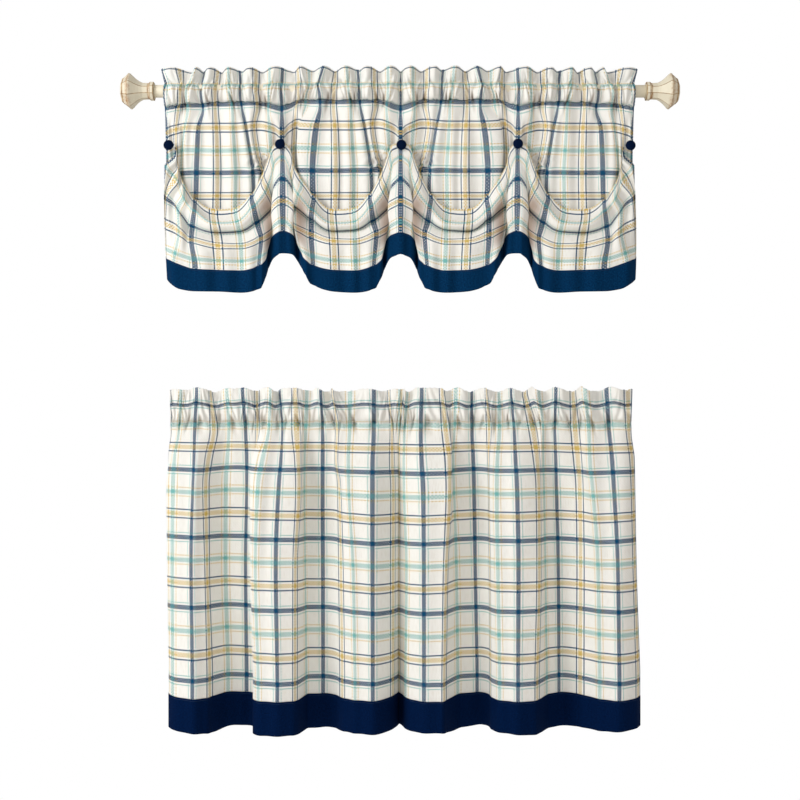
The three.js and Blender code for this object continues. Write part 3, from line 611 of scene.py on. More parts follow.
DROOP = [  # how much lower the outer swags hang: as a whole, and only in from their free side
    {"cloth": -70, "whole": -2.0, "inside": 0.0}, {"cloth": 40, "whole": -2.0, "inside": 0.0},
    {"cloth": 71, "whole": -3.8, "inside": 0.0}, {"cloth": 200, "whole": -3.8, "inside": 0.0},
    {"cloth": 233, "whole": 0.0, "inside": 0.0}, {"cloth": 405, "whole": 0.0, "inside": 0.0},
    {"cloth": 444, "whole": 0.0, "inside": -2.5}, {"cloth": 480, "whole": 0.0, "inside": -8.0},
    {"cloth": 496, "whole": 0.0, "inside": -8.0}, {"cloth": 528, "whole": 0.0, "inside": 0.0},
]
DROOP_REACH = {"full": 60, "pleated": 200, "free": 246}  # cloth beyond the second button
# Folds that fan out from a button, in mm, and in degrees from straight down.
CRUMPLE = {"reach": 48, "reach_fade": 44, "angle": 52, "angle_fade": 34, "spacing": 15.0,
           "waver": 0.3, "waver_reach": 13, "out": 4.6, "aside": 3.6}
WAVES = {  # uneven waves along the cloth, in mm, and for wander and start in radians
    "puckers": {"out": 1.0, "length": 15.5, "wander": 1.6, "start": 1.0},
    "soft": {"out": 3.0, "length": 41, "wander": 0.8, "start": 0.4},
    "skirt": {"out": 2.6, "length": 43, "wander": 1.0, "start": 1.4},
    "side": {"out": 5.0, "length": 37, "wander": 0.6, "start": 2.2},
}
TUCK_WAVES = 2  # how much deeper the soft waves are again where the tuck turns up, hidden in a pouch
FADES = {  # where down the cloth each of these comes in and goes out again, in mm of cloth
    "creases": {"start": 46, "full": 64, "fade": 73, "gone": 103},
    "crumples": {"start": 74, "full": 94, "fade": 255, "gone": 285},
    "soft": {"start": 80, "full": 140, "fade": 330, "gone": 358},
    "tuck": {"start": 262, "full": 292, "fade": 330, "gone": 358},
    "side": {"start": 84, "full": 144, "fade": 500, "gone": 540},
    "rim dip": {"start": 340, "full": 360, "fade": 405, "gone": 429},
    "top fold": {"start": -20, "full": 0, "fade": 0, "gone": 40},
    "gather shade": {"start": 34, "full": 42, "fade": 68, "gone": 76},
    "pouch shade": {"start": 395, "full": 425, "fade": 500, "gone": 530},
    "pleat shade": {"start": 90, "full": 120, "fade": 250, "gone": 280},
}
# How shaded each such place is, from 0 to 1, and where it is across a swag, in mm of cloth.
SHADE = {"crease": 0.55, "crumple": 0.3, "gather": 0.12}
SHADE_ENDS = 240  # cloth beyond the second button: past it the outer swag hangs free, without such shade
POUCH_SHADE = {"depth": 0.75, "near": 98, "far": 272, "width": 36}
PLEAT_SHADE = {"depth": 0.24, "near": 30, "far": SWAG - 30, "width": 30}
RIM_DIP = {"depth": 5, "place": 187, "width": 60}  # the pouches' rims hang a little lower in the middle
# The cloth lies flatter at each navy stripe than around it, so it is wider there, most of all by a pleat.
STRIPE_SPREAD = {"everywhere": 0.42, "pleat": 0.3, "pleat_from": 120, "width": 7.5,
                 "start": 84, "full": 104}
FLARE = {"out": 9.0, "start": 300, "full": 368, "height": 32}  # the ends of the ruffle lean outwards
# The share by which an outer swag's skirt is drawn towards its inner button, by place across the swag.
SKIRT_DRAWN = {0: 0.13, 123: 0.13, 164: 0.1, 205: 0.034}
SKIRT_DRAWN_FROM, SKIRT_DRAWN_FULLY = 370, 500
# The right half is a little narrower, and the end of its skirt swings a little further out.
RIGHT_SIDE = {"width": 403 / 407, "swing": 6.5, "reach": 100, "start": 400, "full": 585}


def table(rows, key):
    """The lines' cloth lengths, and their values as an array with a row for each line."""
    return [row["cloth"] for row in rows], np.array([row[key] for row in rows], float)


def half_table(rows, key, edge):
    """A line table for the whole left half: the inner swag, then the outer swag with its free side."""
    cloth, inner = table(rows, key)
    outer = inner.copy()
    outer[:, EDGE_FROM:] = through(cloth, list(edge), list(edge.values()))
    if key == "x":
        inner = BUTTON_X["middle"] - inner
        skirt = rise(np.array(cloth)[:, None], SKIRT_DRAWN_FROM, SKIRT_DRAWN_FULLY)
        share = through(STATIONS[:EDGE_FROM], list(SKIRT_DRAWN), list(SKIRT_DRAWN.values()))
        outer[:, :EDGE_FROM] *= 1 - skirt * share
        outer = BUTTON_X["second"] - outer
    return cloth, np.hstack([inner, outer[:, 1:]])


def ripple(place, length, wander, start):
    """An uneven wave from -1 to 1: its crests come closer and further apart as it goes."""
    turns = 2 * math.pi * place / length
    drift = wander * np.sin(turns * 0.23 + start) + 0.6 * wander * np.sin(turns * 0.41 + 2 * start)
    return np.sin(turns + drift + start)


def wave(name, place):
    """How far out one of the named waves pushes the cloth."""
    kind = WAVES[name]
    return kind["out"] * ripple(place, kind["length"], kind["wander"], kind["start"])


def slanting(place, away, slant, length, start):
    """Places along the cloth, moved aside this way and that on lines further away, so that folds slant."""
    return place + slant * away * ripple(place, length, 1, start)


def fade(hung, name):
    """1 where the named effect is full, and 0 before it starts and after it is gone."""
    span = FADES[name]
    return rise(hung, span["start"], span["full"]) * (1 - rise(hung, span["fade"], span["gone"]))


def creases(place, spots, width):
    """1 along narrow creases that cross the cloth at some spots, and 0 between them."""
    return np.max([bump_at(place, spot, width) for spot in spots], axis=0)


def section(rows, cloth):
    """A pocket's section at some lines: how far out, how high, and how deep its gathers and puckers are."""
    return (through(cloth, *table(rows, key))[:, None] for key in ("out", "z", "gather", "pucker"))


def leaning(z, foot, front):
    """The height of a ruffle above its foot: where a gather leans it out, it reaches less high."""
    return foot + (z - foot) * np.sqrt(np.clip(1 - (front / RUFFLE_REACH) ** 2, 0.2, 1))


def crumpled(away, z, hung):
    """How far the crumples beside a button push the cloth out, outwards and up, and how deep in a trough
    each point lies, for its painted shade.
    """
    drop = BUTTON_HEIGHT - z
    reach, angle = np.hypot(away, drop), np.degrees(np.arctan2(away, drop))
    amount = bump_at(reach, CRUMPLE["reach"], CRUMPLE["reach_fade"]) * fade(hung, "crumples")
    amount = amount * bump_at(angle, CRUMPLE["angle"], CRUMPLE["angle_fade"])
    waver = CRUMPLE["waver"] * np.sin(reach / CRUMPLE["waver_reach"])
    turn = 2 * math.pi * angle / CRUMPLE["spacing"] + waver
    out, aside = CRUMPLE["out"] * amount * np.sin(turn), CRUMPLE["aside"] * amount * np.cos(turn)
    deep = amount * ease(-1.6 * np.sin(turn) - 0.5)
    return out, aside * np.cos(np.radians(angle)), aside * np.sin(np.radians(angle)), deep


def valance_lines(inward, cloth):
    """Where the tables put the cloth, across, in height and out, at each line and place along it."""
    places = STATIONS + [SWAG + station for station in STATIONS[1:]]
    lines = {}
    for key, rows, edge in (("x", ACROSS, EDGE_ACROSS), ("z", HEIGHT, EDGE_HEIGHT), ("out", OUT, EDGE_OUT)):
        at, values = half_table(rows, key, edge)
        by_column = through(inward, places, values.T).T
        lines[key] = through(np.clip(np.abs(cloth), at[0], at[-1]), at, by_column)
    return lines


def shaded(place, beyond, hung, spots, name):
    """The shade at two places across a swag. The outer swag's free side has none."""
    near = bump_at(place, spots["near"], spots["width"])
    far = bump_at(place, spots["far"], spots["width"]) * (beyond < SHADE_ENDS)
    return spots["depth"] * np.maximum(near, far) * fade(hung, name)


def valance_surface(across, cloth):
    """Points of the valance, and the shade painted into each one's colour.

    across is the place along the cloth, 0 in the middle; cloth is how much of it hangs above a line."""
    inward, hung = np.abs(across)[None, :], cloth[:, None]
    place, beyond = inward % SWAG, inward - SWAG
    lines = valance_lines(inward[0], cloth)
    below = hung > POCKET_END
    crest = through(inward[0], [g["cloth"] for g in GATHERS], [g["lift"] for g in GATHERS])[None, :]
    fine = wave("puckers", slanting(inward, hung - 50, slant=0.5, length=61, start=2))
    folded = slanting(inward, hung - POCKET_END, slant=0.25, length=83, start=1)
    crease = creases(folded, CREASES, CREASE["half_width"]) * fade(hung, "creases")

    # How far out: the tables' places with the gathers, puckers and waves, and above them the pocket.
    header_out, header_z, gather, pucker = section(HEADER, cloth)
    front = header_out + crest * gather + fine * pucker
    gathers = crest * (RIDGE["seam"] + RIDGE["more"] * rise(hung, POCKET_END, RIDGE["full"]))
    gathers = gathers * (1 - rise(hung, POCKET_END, RIDGE["gone"]))
    puckers = fine * PUCKER["out"] * (1 - rise(hung, POCKET_END, PUCKER["gone"]))
    soft = wave("soft", inward) * (fade(hung, "soft") + TUCK_WAVES * fade(hung, "tuck"))
    skirt = wave("skirt", inward) * rise(hung, SKIRT["start"], SKIRT["full"])
    side = wave("side", inward + 0.12 * hung) * rise(beyond, FREE_SIDE, FREE_SIDE + 40) * fade(hung, "side")
    out = np.where(below, lines["out"] + gathers + puckers + soft + skirt, front)
    out = out - CREASE["in"] * crease + side

    # How high: the pocket sags beside the buttons, and the ruffle's top fold rises with its gathers.
    seam = lines["z"][np.searchsorted(cloth, min(POCKET_END, cloth[-1]))][None, :]
    sag = (seam - SEAM_HEIGHT) * rise(hung, 30, POCKET_END)
    z = np.where(below, lines["z"], header_z + sag)
    upright = np.abs(hung) < RUFFLE_FOOT["cloth"]
    z = np.where(upright, leaning(header_z, RUFFLE_FOOT["z"], front), z)
    z = z + np.where(below, 0, TOP_FOLD_RISE * crest * fade(hung, "top fold"))
    z = z - RIM_DIP["depth"] * bump_at(place, RIM_DIP["place"], RIM_DIP["width"]) * fade(hung, "rim dip")
    whole, inside = (through(cloth, *table(DROOP, key))[:, None] for key in ("whole", "inside"))
    pleated = 1 - rise(beyond, DROOP_REACH["pleated"], DROOP_REACH["free"])
    z = z + rise(beyond, 0, DROOP_REACH["full"]) * (whole + inside * pleated)
    z = z + CREASE["up"] * crease + PUCKER["up"] * fine * bump_at(hung, POCKET_END, PUCKER["reach"])

    # How far across: the cloth is wider at its navy stripes, and the ruffle's ends lean outwards.
    stripe = place - SWAG / 3 * np.round(3 * place / SWAG)
    on_pleat = np.abs(place - SWAG / 2) > STRIPE_SPREAD["pleat_from"]
    spread = (STRIPE_SPREAD["everywhere"] + STRIPE_SPREAD["pleat"] * on_pleat) * stripe
    spread = spread * np.exp(-(stripe / STRIPE_SPREAD["width"]) ** 2)
    spread = spread * rise(hung, STRIPE_SPREAD["start"], STRIPE_SPREAD["full"])
    flare = FLARE["out"] * rise(beyond, FLARE["start"], FLARE["full"])
    x = lines["x"] - spread - flare * bump_at(hung, 0, FLARE["height"])
    middle = BUTTON_X["middle"]
    button = np.where(inward < SWAG, middle, BUTTON_X["second"])
    pushed, outwards, up, deep = crumpled(button - x, z, hung)
    x, z, out = x - outwards, z + up, out + pushed
    swing = RIGHT_SIDE["swing"] * rise(beyond, FREE_SIDE, FREE_SIDE + RIGHT_SIDE["reach"])
    swing = swing * rise(hung, RIGHT_SIDE["start"], RIGHT_SIDE["full"])
    x = np.where(across[None, :] <= 0, x, middle + (middle - x) * RIGHT_SIDE["width"] + swing)

    real = np.stack([x, -out, z], axis=-1)
    points = real + (as_seen(x, z, out) - real) * rise(hung, SEEN["start"], SEEN["full"])[..., None]
    # Painted shade, darkening the cloth's colour: in the creases by the pocket's seam, in the crumples'
    # troughs, behind the gathers, in the pouches' ends and beside the pleats.
    shade = SHADE["crease"] * crease + SHADE["crumple"] * deep
    shade = shade + SHADE["gather"] * ease(-crest * 1.5) * fade(hung, "gather shade")
    shade = shade + shaded(place, beyond, hung, POUCH_SHADE, "pouch shade")
    return points, shade + shaded(place, beyond, hung, PLEAT_SHADE, "pleat shade")


def rows_between(*spans):
    """Row places from (start, end, step) spans that follow on from each other."""
    pieces = []
    for start, end, step in spans:
        pieces.append(np.linspace(start, end, max(1, round((end - start) / step)), endpoint=False))
    return np.append(np.concatenate(pieces), spans[-1][1])


HEADING_COLUMNS, DROP_COLUMNS = 641, 331  # odd, so that one column runs down the middle
heading_rows = rows_between((-70, -30, 5), (-30, -2, 5), (-2, 2, 0.8), (2, 24, 3.5), (24, 40, 2),
                            (40, 72, 2.6))
drop_rows = rows_between((70.5, 80, 2), (80, 240, 4.6), (240, 308, 9), (308, 322, 2.4), (322, 357, 9),
                         (357, 375, 1.8), (375, 548, 3.6))
border_rows = rows_between((546.5, 585, 3.2))
heading_across = np.linspace(-2 * SWAG, 2 * SWAG, HEADING_COLUMNS)
drop_across = np.linspace(-2 * SWAG, 2 * SWAG, DROP_COLUMNS)
# Where the tuck's cloth turns up, at a pleat and in a swag's middle, and where this starts and ends.
TUCK = {"pleat": 256.0, "middle": 315.0, "from": 200.0, "to": 361.0, "pleat_width": 62}


def tucked(cloth, across):
    """The true length of cloth above a line: a tuck turns up earlier at a pleat than in a swag's middle."""
    place = np.abs(across) % SWAG
    away = rise(np.minimum(place, SWAG - place), 0, TUCK["pleat_width"])
    turn = TUCK["pleat"] + (TUCK["middle"] - TUCK["pleat"]) * away
    cloth = cloth[:, None] + 0 * across[None, :]
    down = TUCK["from"] + (cloth - TUCK["from"]) * (turn - TUCK["from"]) / (TUCK["middle"] - TUCK["from"])
    up = turn + (cloth - TUCK["middle"]) * (TUCK["to"] - turn) / (TUCK["to"] - TUCK["middle"])
    inside = np.where(cloth < TUCK["middle"], down, up)
    return np.where((cloth > TUCK["from"]) & (cloth < TUCK["to"]), inside, cloth)


heading = cloth_sheet("valance_heading_cloth", valance_surface(heading_across, heading_rows),
                      -np.abs(heading_across), (heading_rows - NAVY_LINE)[:, None], plaid, CLOTH)
drop = cloth_sheet("valance_drop_cloth", valance_surface(drop_across, drop_rows),
                   -np.abs(drop_across), tucked(drop_rows, drop_across) - NAVY_LINE, plaid, CLOTH)
valance_border = cloth_sheet("valance_border", valance_surface(drop_across, border_rows),
                             -np.abs(drop_across), (border_rows - NAVY_LINE)[:, None], navy, 2 * CLOTH)
for piece, node, finish, length, held, rests_on in (
    (heading, "valance_heading", "plaid_cloth", 0.141, "gathered", ["curtain_rod"]),
    (drop, "valance_drop", "plaid_cloth", 0.477, "hung", ["valance_heading_cloth"]),
    (valance_border, "valance_band", "navy_cloth", 0.038, "hung", ["valance_drop_cloth"]),
):
    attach(piece, "root")
    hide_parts(node)

# ---- covered buttons -------------------------------------------------------------------------
# Five domed buttons covered in dark navy cotton, sewn on over the tuck. Each cover is gathered under
# the button's rim.

BUTTON_PROFILE = [(0, 0), (0, 7.4), (0.8, 8.5), (2.0, 8.8), (3.2, 8.4), (4.4, 7.3), (5.4, 5.6), (6.0, 3.7),
                  (6.3, 1.9), (6.4, 0)]
BUTTON_SIDES = 32
BUTTON_NAVY = "011230"
# Each is sewn on a little off its mark: mm to the right and up.
BUTTON_SHIFT = {1: (5, -5.5), 2: (-2, -4), 3: (1.5, -5), 4: (-1.5, -3), 5: (-4.5, -6)}


def button_cover():
    """Dark navy cotton drawn tight over a dome: matt, with a fine fleck from its weave."""
    material, tree = new_material("dark navy cotton on a button")
    place = add(tree, "ShaderNodeTexCoord").outputs["Object"]
    fleck = add(tree, "ShaderNodeTexNoise", {"Vector": place, "Scale": 900.0, "Detail": 2.0})
    bump = add(tree, "ShaderNodeBump", {
        "Height": fleck.outputs["Fac"], "Strength": 0.3, "Distance": 0.0003})
    finish_material(tree, add(tree, "ShaderNodeBsdfPrincipled", {
        "Base Color": linear(BUTTON_NAVY), "Normal": bump.outputs[0], "Roughness": 0.8,
        "Specular IOR Level": 0.06}))
    return material


button_cloth = button_cover()
for number, (shift_x, shift_z) in BUTTON_SHIFT.items():
    low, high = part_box(f"button_{number}")
    middle = ((low.x + high.x) * 500 + shift_x, high.y * 1000, (low.z + high.z) * 500 + shift_z)
    button = turned(f"covered_button_{number}", BUTTON_PROFILE, BUTTON_SIDES, button_cloth,
                    (0, -1, 0), middle)
    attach(button, "root")
    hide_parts(f"button_{number}")

# ---- tiers -----------------------------------------------------------------------------------
# A pair of short curtains in the same plaid, each gathered by its own rod pocket and header, with the
# navy border along the hem. They hang in a few large soft folds.

TIER_TOP_FOLD = 42.0  # height of the top fold above the rod's axis
TIER_CREST = 1.5  # how much higher than that the gathers' crests reach
TIER_NAVY_LINE = 27.5  # cloth from the top fold to the first navy stripe's middle
TIER_POCKET_END = 62  # cloth from the top fold to the pocket's lower seam
TIER_BOTTOM_SEAM = -14.0  # the height of that seam
TIER_HEM = -553.5
TIER_RESTING_OUT = 4.0
TIER_FOOT = {"cloth": 27, "z": 14.2}  # the pocket's upper seam, where the ruffle starts
TIER_PUCKER = {"out": 1.2, "gone": 86, "up": 0.8, "reach": 14}  # along the pocket's seam and the top fold
# Each of the next four starts, is full or ends at a share of the drop, 0 at the seam and 1 at the hem.
FOLD_DEPTH = {"middle": 50.0, "formed": 1 / 3.2, "hem": 76.0, "opens": 0.45, "open": 0.95}  # front to back
TIER_RIDGE = {"seam": 2.0, "seam_gone": 1 / 2.2, "body": 2.5, "body_gone": 1 / 1.9}  # of the small gathers
NEAR_SAG = {"down": 1.0, "full": 0.4}  # a near fold hangs lower than a far one
# The edges that meet in the middle hang lower on the way down, and their hems are level again.
MEETING_SAG = {"down": 4.0, "x": -10, "width": 110, "full": 1 / 3, "fades": 0.7, "gone": 0.9}
TIER_CREASE = {"in": 6.5, "up": 1.5, "shade": 0.4}
RUFFLE_SHIFT = -0.1  # plaid repeats from a crest of the ruffle's top edge to its gather in the pocket
LIFTS = [  # how far the cloth rises with its gathers: at the top fold, the first navy stripe and the seam
    {"cloth": 0, "up": 3.6, "width": 24}, {"cloth": 27.5, "up": 3.4, "width": 18},
    {"cloth": 64, "up": 1.2, "width": 20},
]
WAVES["tier puckers"] = {"out": 1.0, "length": 15.0, "wander": 1.6, "start": 2.0}
WAVES["tier soft"] = {"out": 1.5, "length": 49, "wander": 0.9, "start": 0.3}
WAVES["tier creases"] = {"out": 1.0, "length": 34, "wander": 1.3, "start": 0.9}
FADES["tier creases"] = {"start": 40, "full": 56, "fade": 64, "gone": 92}
FADES["tier gather shade"] = {"start": 30, "full": 38, "fade": 58, "gone": 66}
TIER_HEADER = [
    {"cloth": -62, "out": 3.0, "z": -14.0, "gather": 1.4, "pucker": 0.8},
    {"cloth": -52, "out": -6.0, "z": -10.0, "gather": 1.2, "pucker": 0.5},
    {"cloth": -44, "out": -9.5, "z": -3.0, "gather": 1.0, "pucker": 0.4},
    {"cloth": -36, "out": -8.5, "z": 6.0, "gather": 1.0, "pucker": 0.4},
    {"cloth": -27, "out": -1.2, "z": 14.2, "gather": 1.6, "pucker": 0.6},
    {"cloth": -12, "out": -3.6, "z": 29.0, "gather": 8.0, "pucker": 0.8},
    {"cloth": -1, "out": -1.8, "z": 41.4, "gather": 9.0, "pucker": 0.4},
    {"cloth": 0, "out": -1.0, "z": 42.0, "gather": 9.0, "pucker": 0.4},
    {"cloth": 1, "out": -0.2, "z": 41.4, "gather": 9.0, "pucker": 0.4},
    {"cloth": 12, "out": 0.6, "z": 30.0, "gather": 8.0, "pucker": 1.4},
    {"cloth": 22, "out": 2.0, "z": 19.5, "gather": 5.0, "pucker": 2.0},
    {"cloth": 27.5, "out": 0.8, "z": 14.2, "gather": 2.2, "pucker": 0.8},
    {"cloth": 32, "out": 6.0, "z": 11.5, "gather": 2.4, "pucker": 2.2},
    {"cloth": 38, "out": 12.6, "z": 6.0, "gather": 5.0, "pucker": 2.4},
    {"cloth": 45, "out": 14.8, "z": -0.5, "gather": 6.0, "pucker": 2.4},
    {"cloth": 52, "out": 13.6, "z": -7.4, "gather": 6.0, "pucker": 2.6},
    {"cloth": 57, "out": 10.0, "z": -12.0, "gather": 4.8, "pucker": 2.6},
    {"cloth": 62, "out": 4.4, "z": -14.6, "gather": 2.4, "pucker": 1.2},
]
TIER_LEVELS = [-35, 29, 78, 125, 267, 449]  # mm below the tier's rod
# The large folds, from left to right: how far along the cloth in plaid repeats, how near that is to the
# eye, 1 on a fold's front and 0 at its back, and where it hangs across at each of those levels.
FOLDS = {
    "tier_left": [
        {"repeats": -0.62, "near": 0.1, "x": [-403, -401.5, -405, -403, -402, -399]},
        {"repeats": -0.44, "near": 0.45, "x": [-391, -393, -402, -408.5, -407.5, -404.5]},
        {"repeats": -0.325, "near": 0.7, "x": [-383.3, -386.8, -394.6, -396.9, -398.1, -397.6]},
        {"repeats": 0, "near": 0.97, "x": [-355.8, -359.5, -360.3, -362.3, -365.8, -363.5]},
        {"repeats": 0.277, "near": 0.82, "x": [-335, -333, -342.1, -346, -342.5, -338.6]},
        {"repeats": 0.417, "near": 0.55, "x": [-328, -319, -328.1, -333.9, -333.4, -328.1]},
        {"repeats": 0.675, "near": 0.15, "x": [-302.8, -299.6, -301.9, -304.9, -305.4, -301]},
        {"repeats": 1, "near": 0.06, "x": [-276, -270.7, -268.6, -268.1, -270.4, -269]},
        {"repeats": 1.09, "near": 0.1, "x": [-267, -262.5, -260.5, -262, -263, -259.5]},
        {"repeats": 1.3, "near": 0.3, "x": [-254, -252, -254, -256, -256, -253]},
        {"repeats": 1.52, "near": 0.72, "x": [-238, -240, -258, -262.5, -261.5, -257]},
        {"repeats": 1.675, "near": 0.9, "x": [-226.6, -230, -239.8, -248.5, -253.2, -248.2]},
        {"repeats": 2, "near": 1, "x": [-210.5, -205.8, -208.3, -212.3, -217.7, -214.9]},
        {"repeats": 2.277, "near": 0.92, "x": [-189.9, -190, -185.2, -183.2, -188.1, -188.7]},
        {"repeats": 2.417, "near": 0.75, "x": [-178.5, -173.6, -173.4, -172.7, -179.6, -179.7]},
        {"repeats": 2.605, "near": 0.35, "x": [-169, -169.8, -170.5, -170.4, -169.4, -168.4]},
        {"repeats": 2.745, "near": 0.12, "x": [-157, -159, -162.8, -163.6, -162.8, -160]},
        {"repeats": 3, "near": 0.04, "x": [-139.1, -135.6, -135.6, -135.6, -135.1, -134.8]},
        {"repeats": 3.2, "near": 0.2, "x": [-124, -119, -116.5, -116, -114, -112.5]},
        {"repeats": 3.277, "near": 0.42, "x": [-119.9, -113.2, -114.6, -109.4, -107.6, -105.5]},
        {"repeats": 3.417, "near": 0.68, "x": [-116.4, -107, -108.5, -103.2, -98.9, -96.2]},
        {"repeats": 3.675, "near": 0.88, "x": [-87.5, -88.4, -90.8, -90, -82.3, -78.8]},
        {"repeats": 4, "near": 0.97, "x": [-46, -45.9, -48.1, -48.5, -48.5, -48.1]},
        {"repeats": 4.277, "near": 0.6, "x": [-22.2, -18, -19.3, -17, -17.5, -17.5]},
        {"repeats": 4.417, "near": 0.35, "x": [-17, -11.4, -9.6, -8.2, -8.4, -9.3]},
        {"repeats": 4.7, "near": 0.02, "x": [0.5, -1, -2, -2, -2, -2]},
    ],
    "tier_right": [
        {"repeats": -0.7, "near": 0.02, "x": [-0.5, -1.5, -2.5, -2.5, -3, -2.5]},
        {"repeats": -0.583, "near": 0.12, "x": [6.1, 1.8, 1, 1, 0.5, 1]},
        {"repeats": -0.395, "near": 0.35, "x": [9.5, 3.5, 3.2, 3.5, 7.5, 6.3]},
        {"repeats": -0.325, "near": 0.5, "x": [12.3, 7.7, 6.5, 7, 11.6, 9.6]},
        {"repeats": 0, "near": 0.93, "x": [37.6, 35.9, 37.5, 40.3, 41.5, 41.8]},
        {"repeats": 0.277, "near": 0.97, "x": [68.3, 72.5, 78, 80, 75.3, 72.6]},
        {"repeats": 0.347, "near": 0.9, "x": [73.5, 79.6, 86.3, 86.6, 80.7, 77.2]},
        {"repeats": 0.417, "near": 0.75, "x": [77.9, 87.5, 91, 91, 84, 81]},
        {"repeats": 0.605, "near": 0.35, "x": [91, 92, 89.5, 90.5, 93.5, 95]},
        {"repeats": 0.675, "near": 0.22, "x": [98, 95, 92.9, 94.2, 98, 100.5]},
        {"repeats": 0.745, "near": 0.12, "x": [105, 100.3, 97.7, 98.7, 104.7, 106.8]},
        {"repeats": 1, "near": 0.03, "x": [125.1, 125.7, 127.9, 129.2, 131.3, 134.8]},
        {"repeats": 1.2, "near": 0.15, "x": [141, 143.5, 147, 149, 150, 151]},
        {"repeats": 1.277, "near": 0.3, "x": [148.8, 151, 153, 154.5, 155.8, 157]},
        {"repeats": 1.417, "near": 0.52, "x": [153.7, 160, 157, 157, 159, 160]},
        {"repeats": 1.605, "near": 0.78, "x": [167, 167, 164, 162.8, 165.4, 168.9]},
        {"repeats": 1.675, "near": 0.85, "x": [173.3, 174.3, 170.6, 169.4, 171.3, 174.5]},
        {"repeats": 2, "near": 1, "x": [194.3, 199.5, 201.8, 204.4, 207, 206.3]},
        {"repeats": 2.277, "near": 0.9, "x": [213.5, 224.5, 232.2, 237.1, 238.7, 235.4]},
        {"repeats": 2.417, "near": 0.68, "x": [223.1, 239.8, 245, 246.4, 247.3, 243.8]},
        {"repeats": 2.605, "near": 0.4, "x": [237.1, 247, 247.5, 248.5, 251, 252.5]},
        {"repeats": 2.745, "near": 0.2, "x": [248.5, 254, 254, 255.5, 257.6, 260.4]},
        {"repeats": 3, "near": 0.03, "x": [273, 270.7, 272.3, 273.2, 276.5, 277.6]},
        {"repeats": 3.277, "near": 0.2, "x": [296.6, 298.4, 302.8, 307.1, 309.2, 308.4]},
        {"repeats": 3.417, "near": 0.42, "x": [308, 314.3, 318.7, 321.1, 322.9, 322.7]},
        {"repeats": 3.605, "near": 0.68, "x": [318, 324.6, 326.4, 331.6, 340.4, 343]},
        {"repeats": 3.675, "near": 0.77, "x": [323.8, 330.4, 332.2, 337, 346.5, 349.5]},
        {"repeats": 4, "near": 0.97, "x": [361.4, 365.8, 371, 374.2, 381, 383.6]},
        {"repeats": 4.277, "near": 0.75, "x": [391.1, 394.8, 401.3, 403.6, 406.9, 412.1]},
        {"repeats": 4.42, "near": 0.45, "x": [406.5, 404.6, 410.5, 411.3, 413.8, 420]},
    ],
}
RAISED_LEVELS = [30, 101, 220, 346, 469, 553]  # mm below the tier's rod
# How far the cloth is drawn up at those levels, by where it is across: the tiers hang a little unevenly.
RAISED = {
    "tier_left": [
        {"x": -395, "up": [0, 1.5, 8, 9, 5.5, 6]}, {"x": -345, "up": [0, 0, 7, 8.2, 5, 2]},
        {"x": -322, "up": [0, 1.5, 6, 7, 4, -2]}, {"x": -288, "up": [0, 3.5, 5, 6, 3, 1.5]},
        {"x": -259, "up": [0, 2, 4.2, 3.5, 1, 0]}, {"x": -196, "up": [0, 0.5, 3.2, 3.5, 0, 0]},
        {"x": -154, "up": [0, 0.5, 0.5, 1, -1, -4]}, {"x": -116, "up": [0, 0.5, 0.3, 0.7, -1.5, -2]},
        {"x": -85, "up": [-1, -2.4, -0.5, 1.5, 1.2, 3]}, {"x": -35, "up": [-1, -2.5, -0.5, 1, 1.2, 2]},
    ],
    "tier_right": [
        {"x": 15, "up": [-2, -5.2, -2.2, 0, -1, 3.5]}, {"x": 70, "up": [-2, -5.4, -2.2, -0.5, -1, 4.5]},
        {"x": 98, "up": [0, -2, -1, 0, -0.5, -3]}, {"x": 140, "up": [0, 0, 0, 0.5, 0, 1]},
        {"x": 180, "up": [0, -1.5, 1, 1.2, 0.3, 4]}, {"x": 228, "up": [0, -0.3, 1.8, 2, 0.2, 1]},
        {"x": 266, "up": [0, -1.5, 0.5, 1, 0, -2]}, {"x": 302, "up": [-1, -2.8, -0.3, 1, 1, 1]},
        {"x": 350, "up": [-2, -5, -1.4, 0.8, 0.8, 5]}, {"x": 400, "up": [-1, -3.2, 1.5, 0.7, 0.7, 8]},
    ],
}
TIER_GATHERS = {  # repeats along the cloth, and the header there: 1 is a gather's crest, -1 a trough
    "tier_left": {
        -0.62: -0.2, -0.5: 0.2, -0.2: -0.3, 0: 1, 0.46: -1, 0.69: 0.7, 0.8: 0.4, 1: 1, 1.3: -0.8,
        1.6: 1.1, 1.85: -1, 2.1: 0.6, 2.35: 0.8, 2.72: -0.7, 2.9: 0.8, 3.12: -1.1, 3.3: 0.5, 3.5: -0.9,
        3.62: -0.8, 3.88: 0.4, 4.13: -0.7, 4.55: 0.2, 4.7: 0,
    },
    "tier_right": {
        -0.7: 0, -0.55: 0.3, -0.3: -1.1, -0.1: 0.8, 0.28: 0.9, 0.5: -0.7, 0.7: 1, 0.93: -1, 1.25: 0.7,
        1.63: -1, 1.97: 0.7, 2.3: -1, 2.52: 1.2, 2.73: -0.9, 3: 1.2, 3.3: -0.9, 3.6: 1.5, 3.83: -0.8,
        4.1: 1.4, 4.33: -0.3, 4.42: 0.4,
    },
}
TIER_DROP = [  # cloth above a line, and how high it hangs from the tier's own rod
    {"cloth": 62, "z": -14.6}, {"cloth": 67.4, "z": -20}, {"cloth": 107.7, "z": -58.5},
    {"cloth": 150.25, "z": -98}, {"cloth": 190.15, "z": -138.3}, {"cloth": 607.5, "z": -553.5},
]


def tier_axis(name):
    """The height of the tier's own rod, which is hidden in its pocket."""
    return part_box(f"{name}_heading")[1].z * 1000 - TIER_TOP_FOLD - TIER_CREST


def column(rows, key):
    """One column of a table of rows."""
    return [row[key] for row in rows]


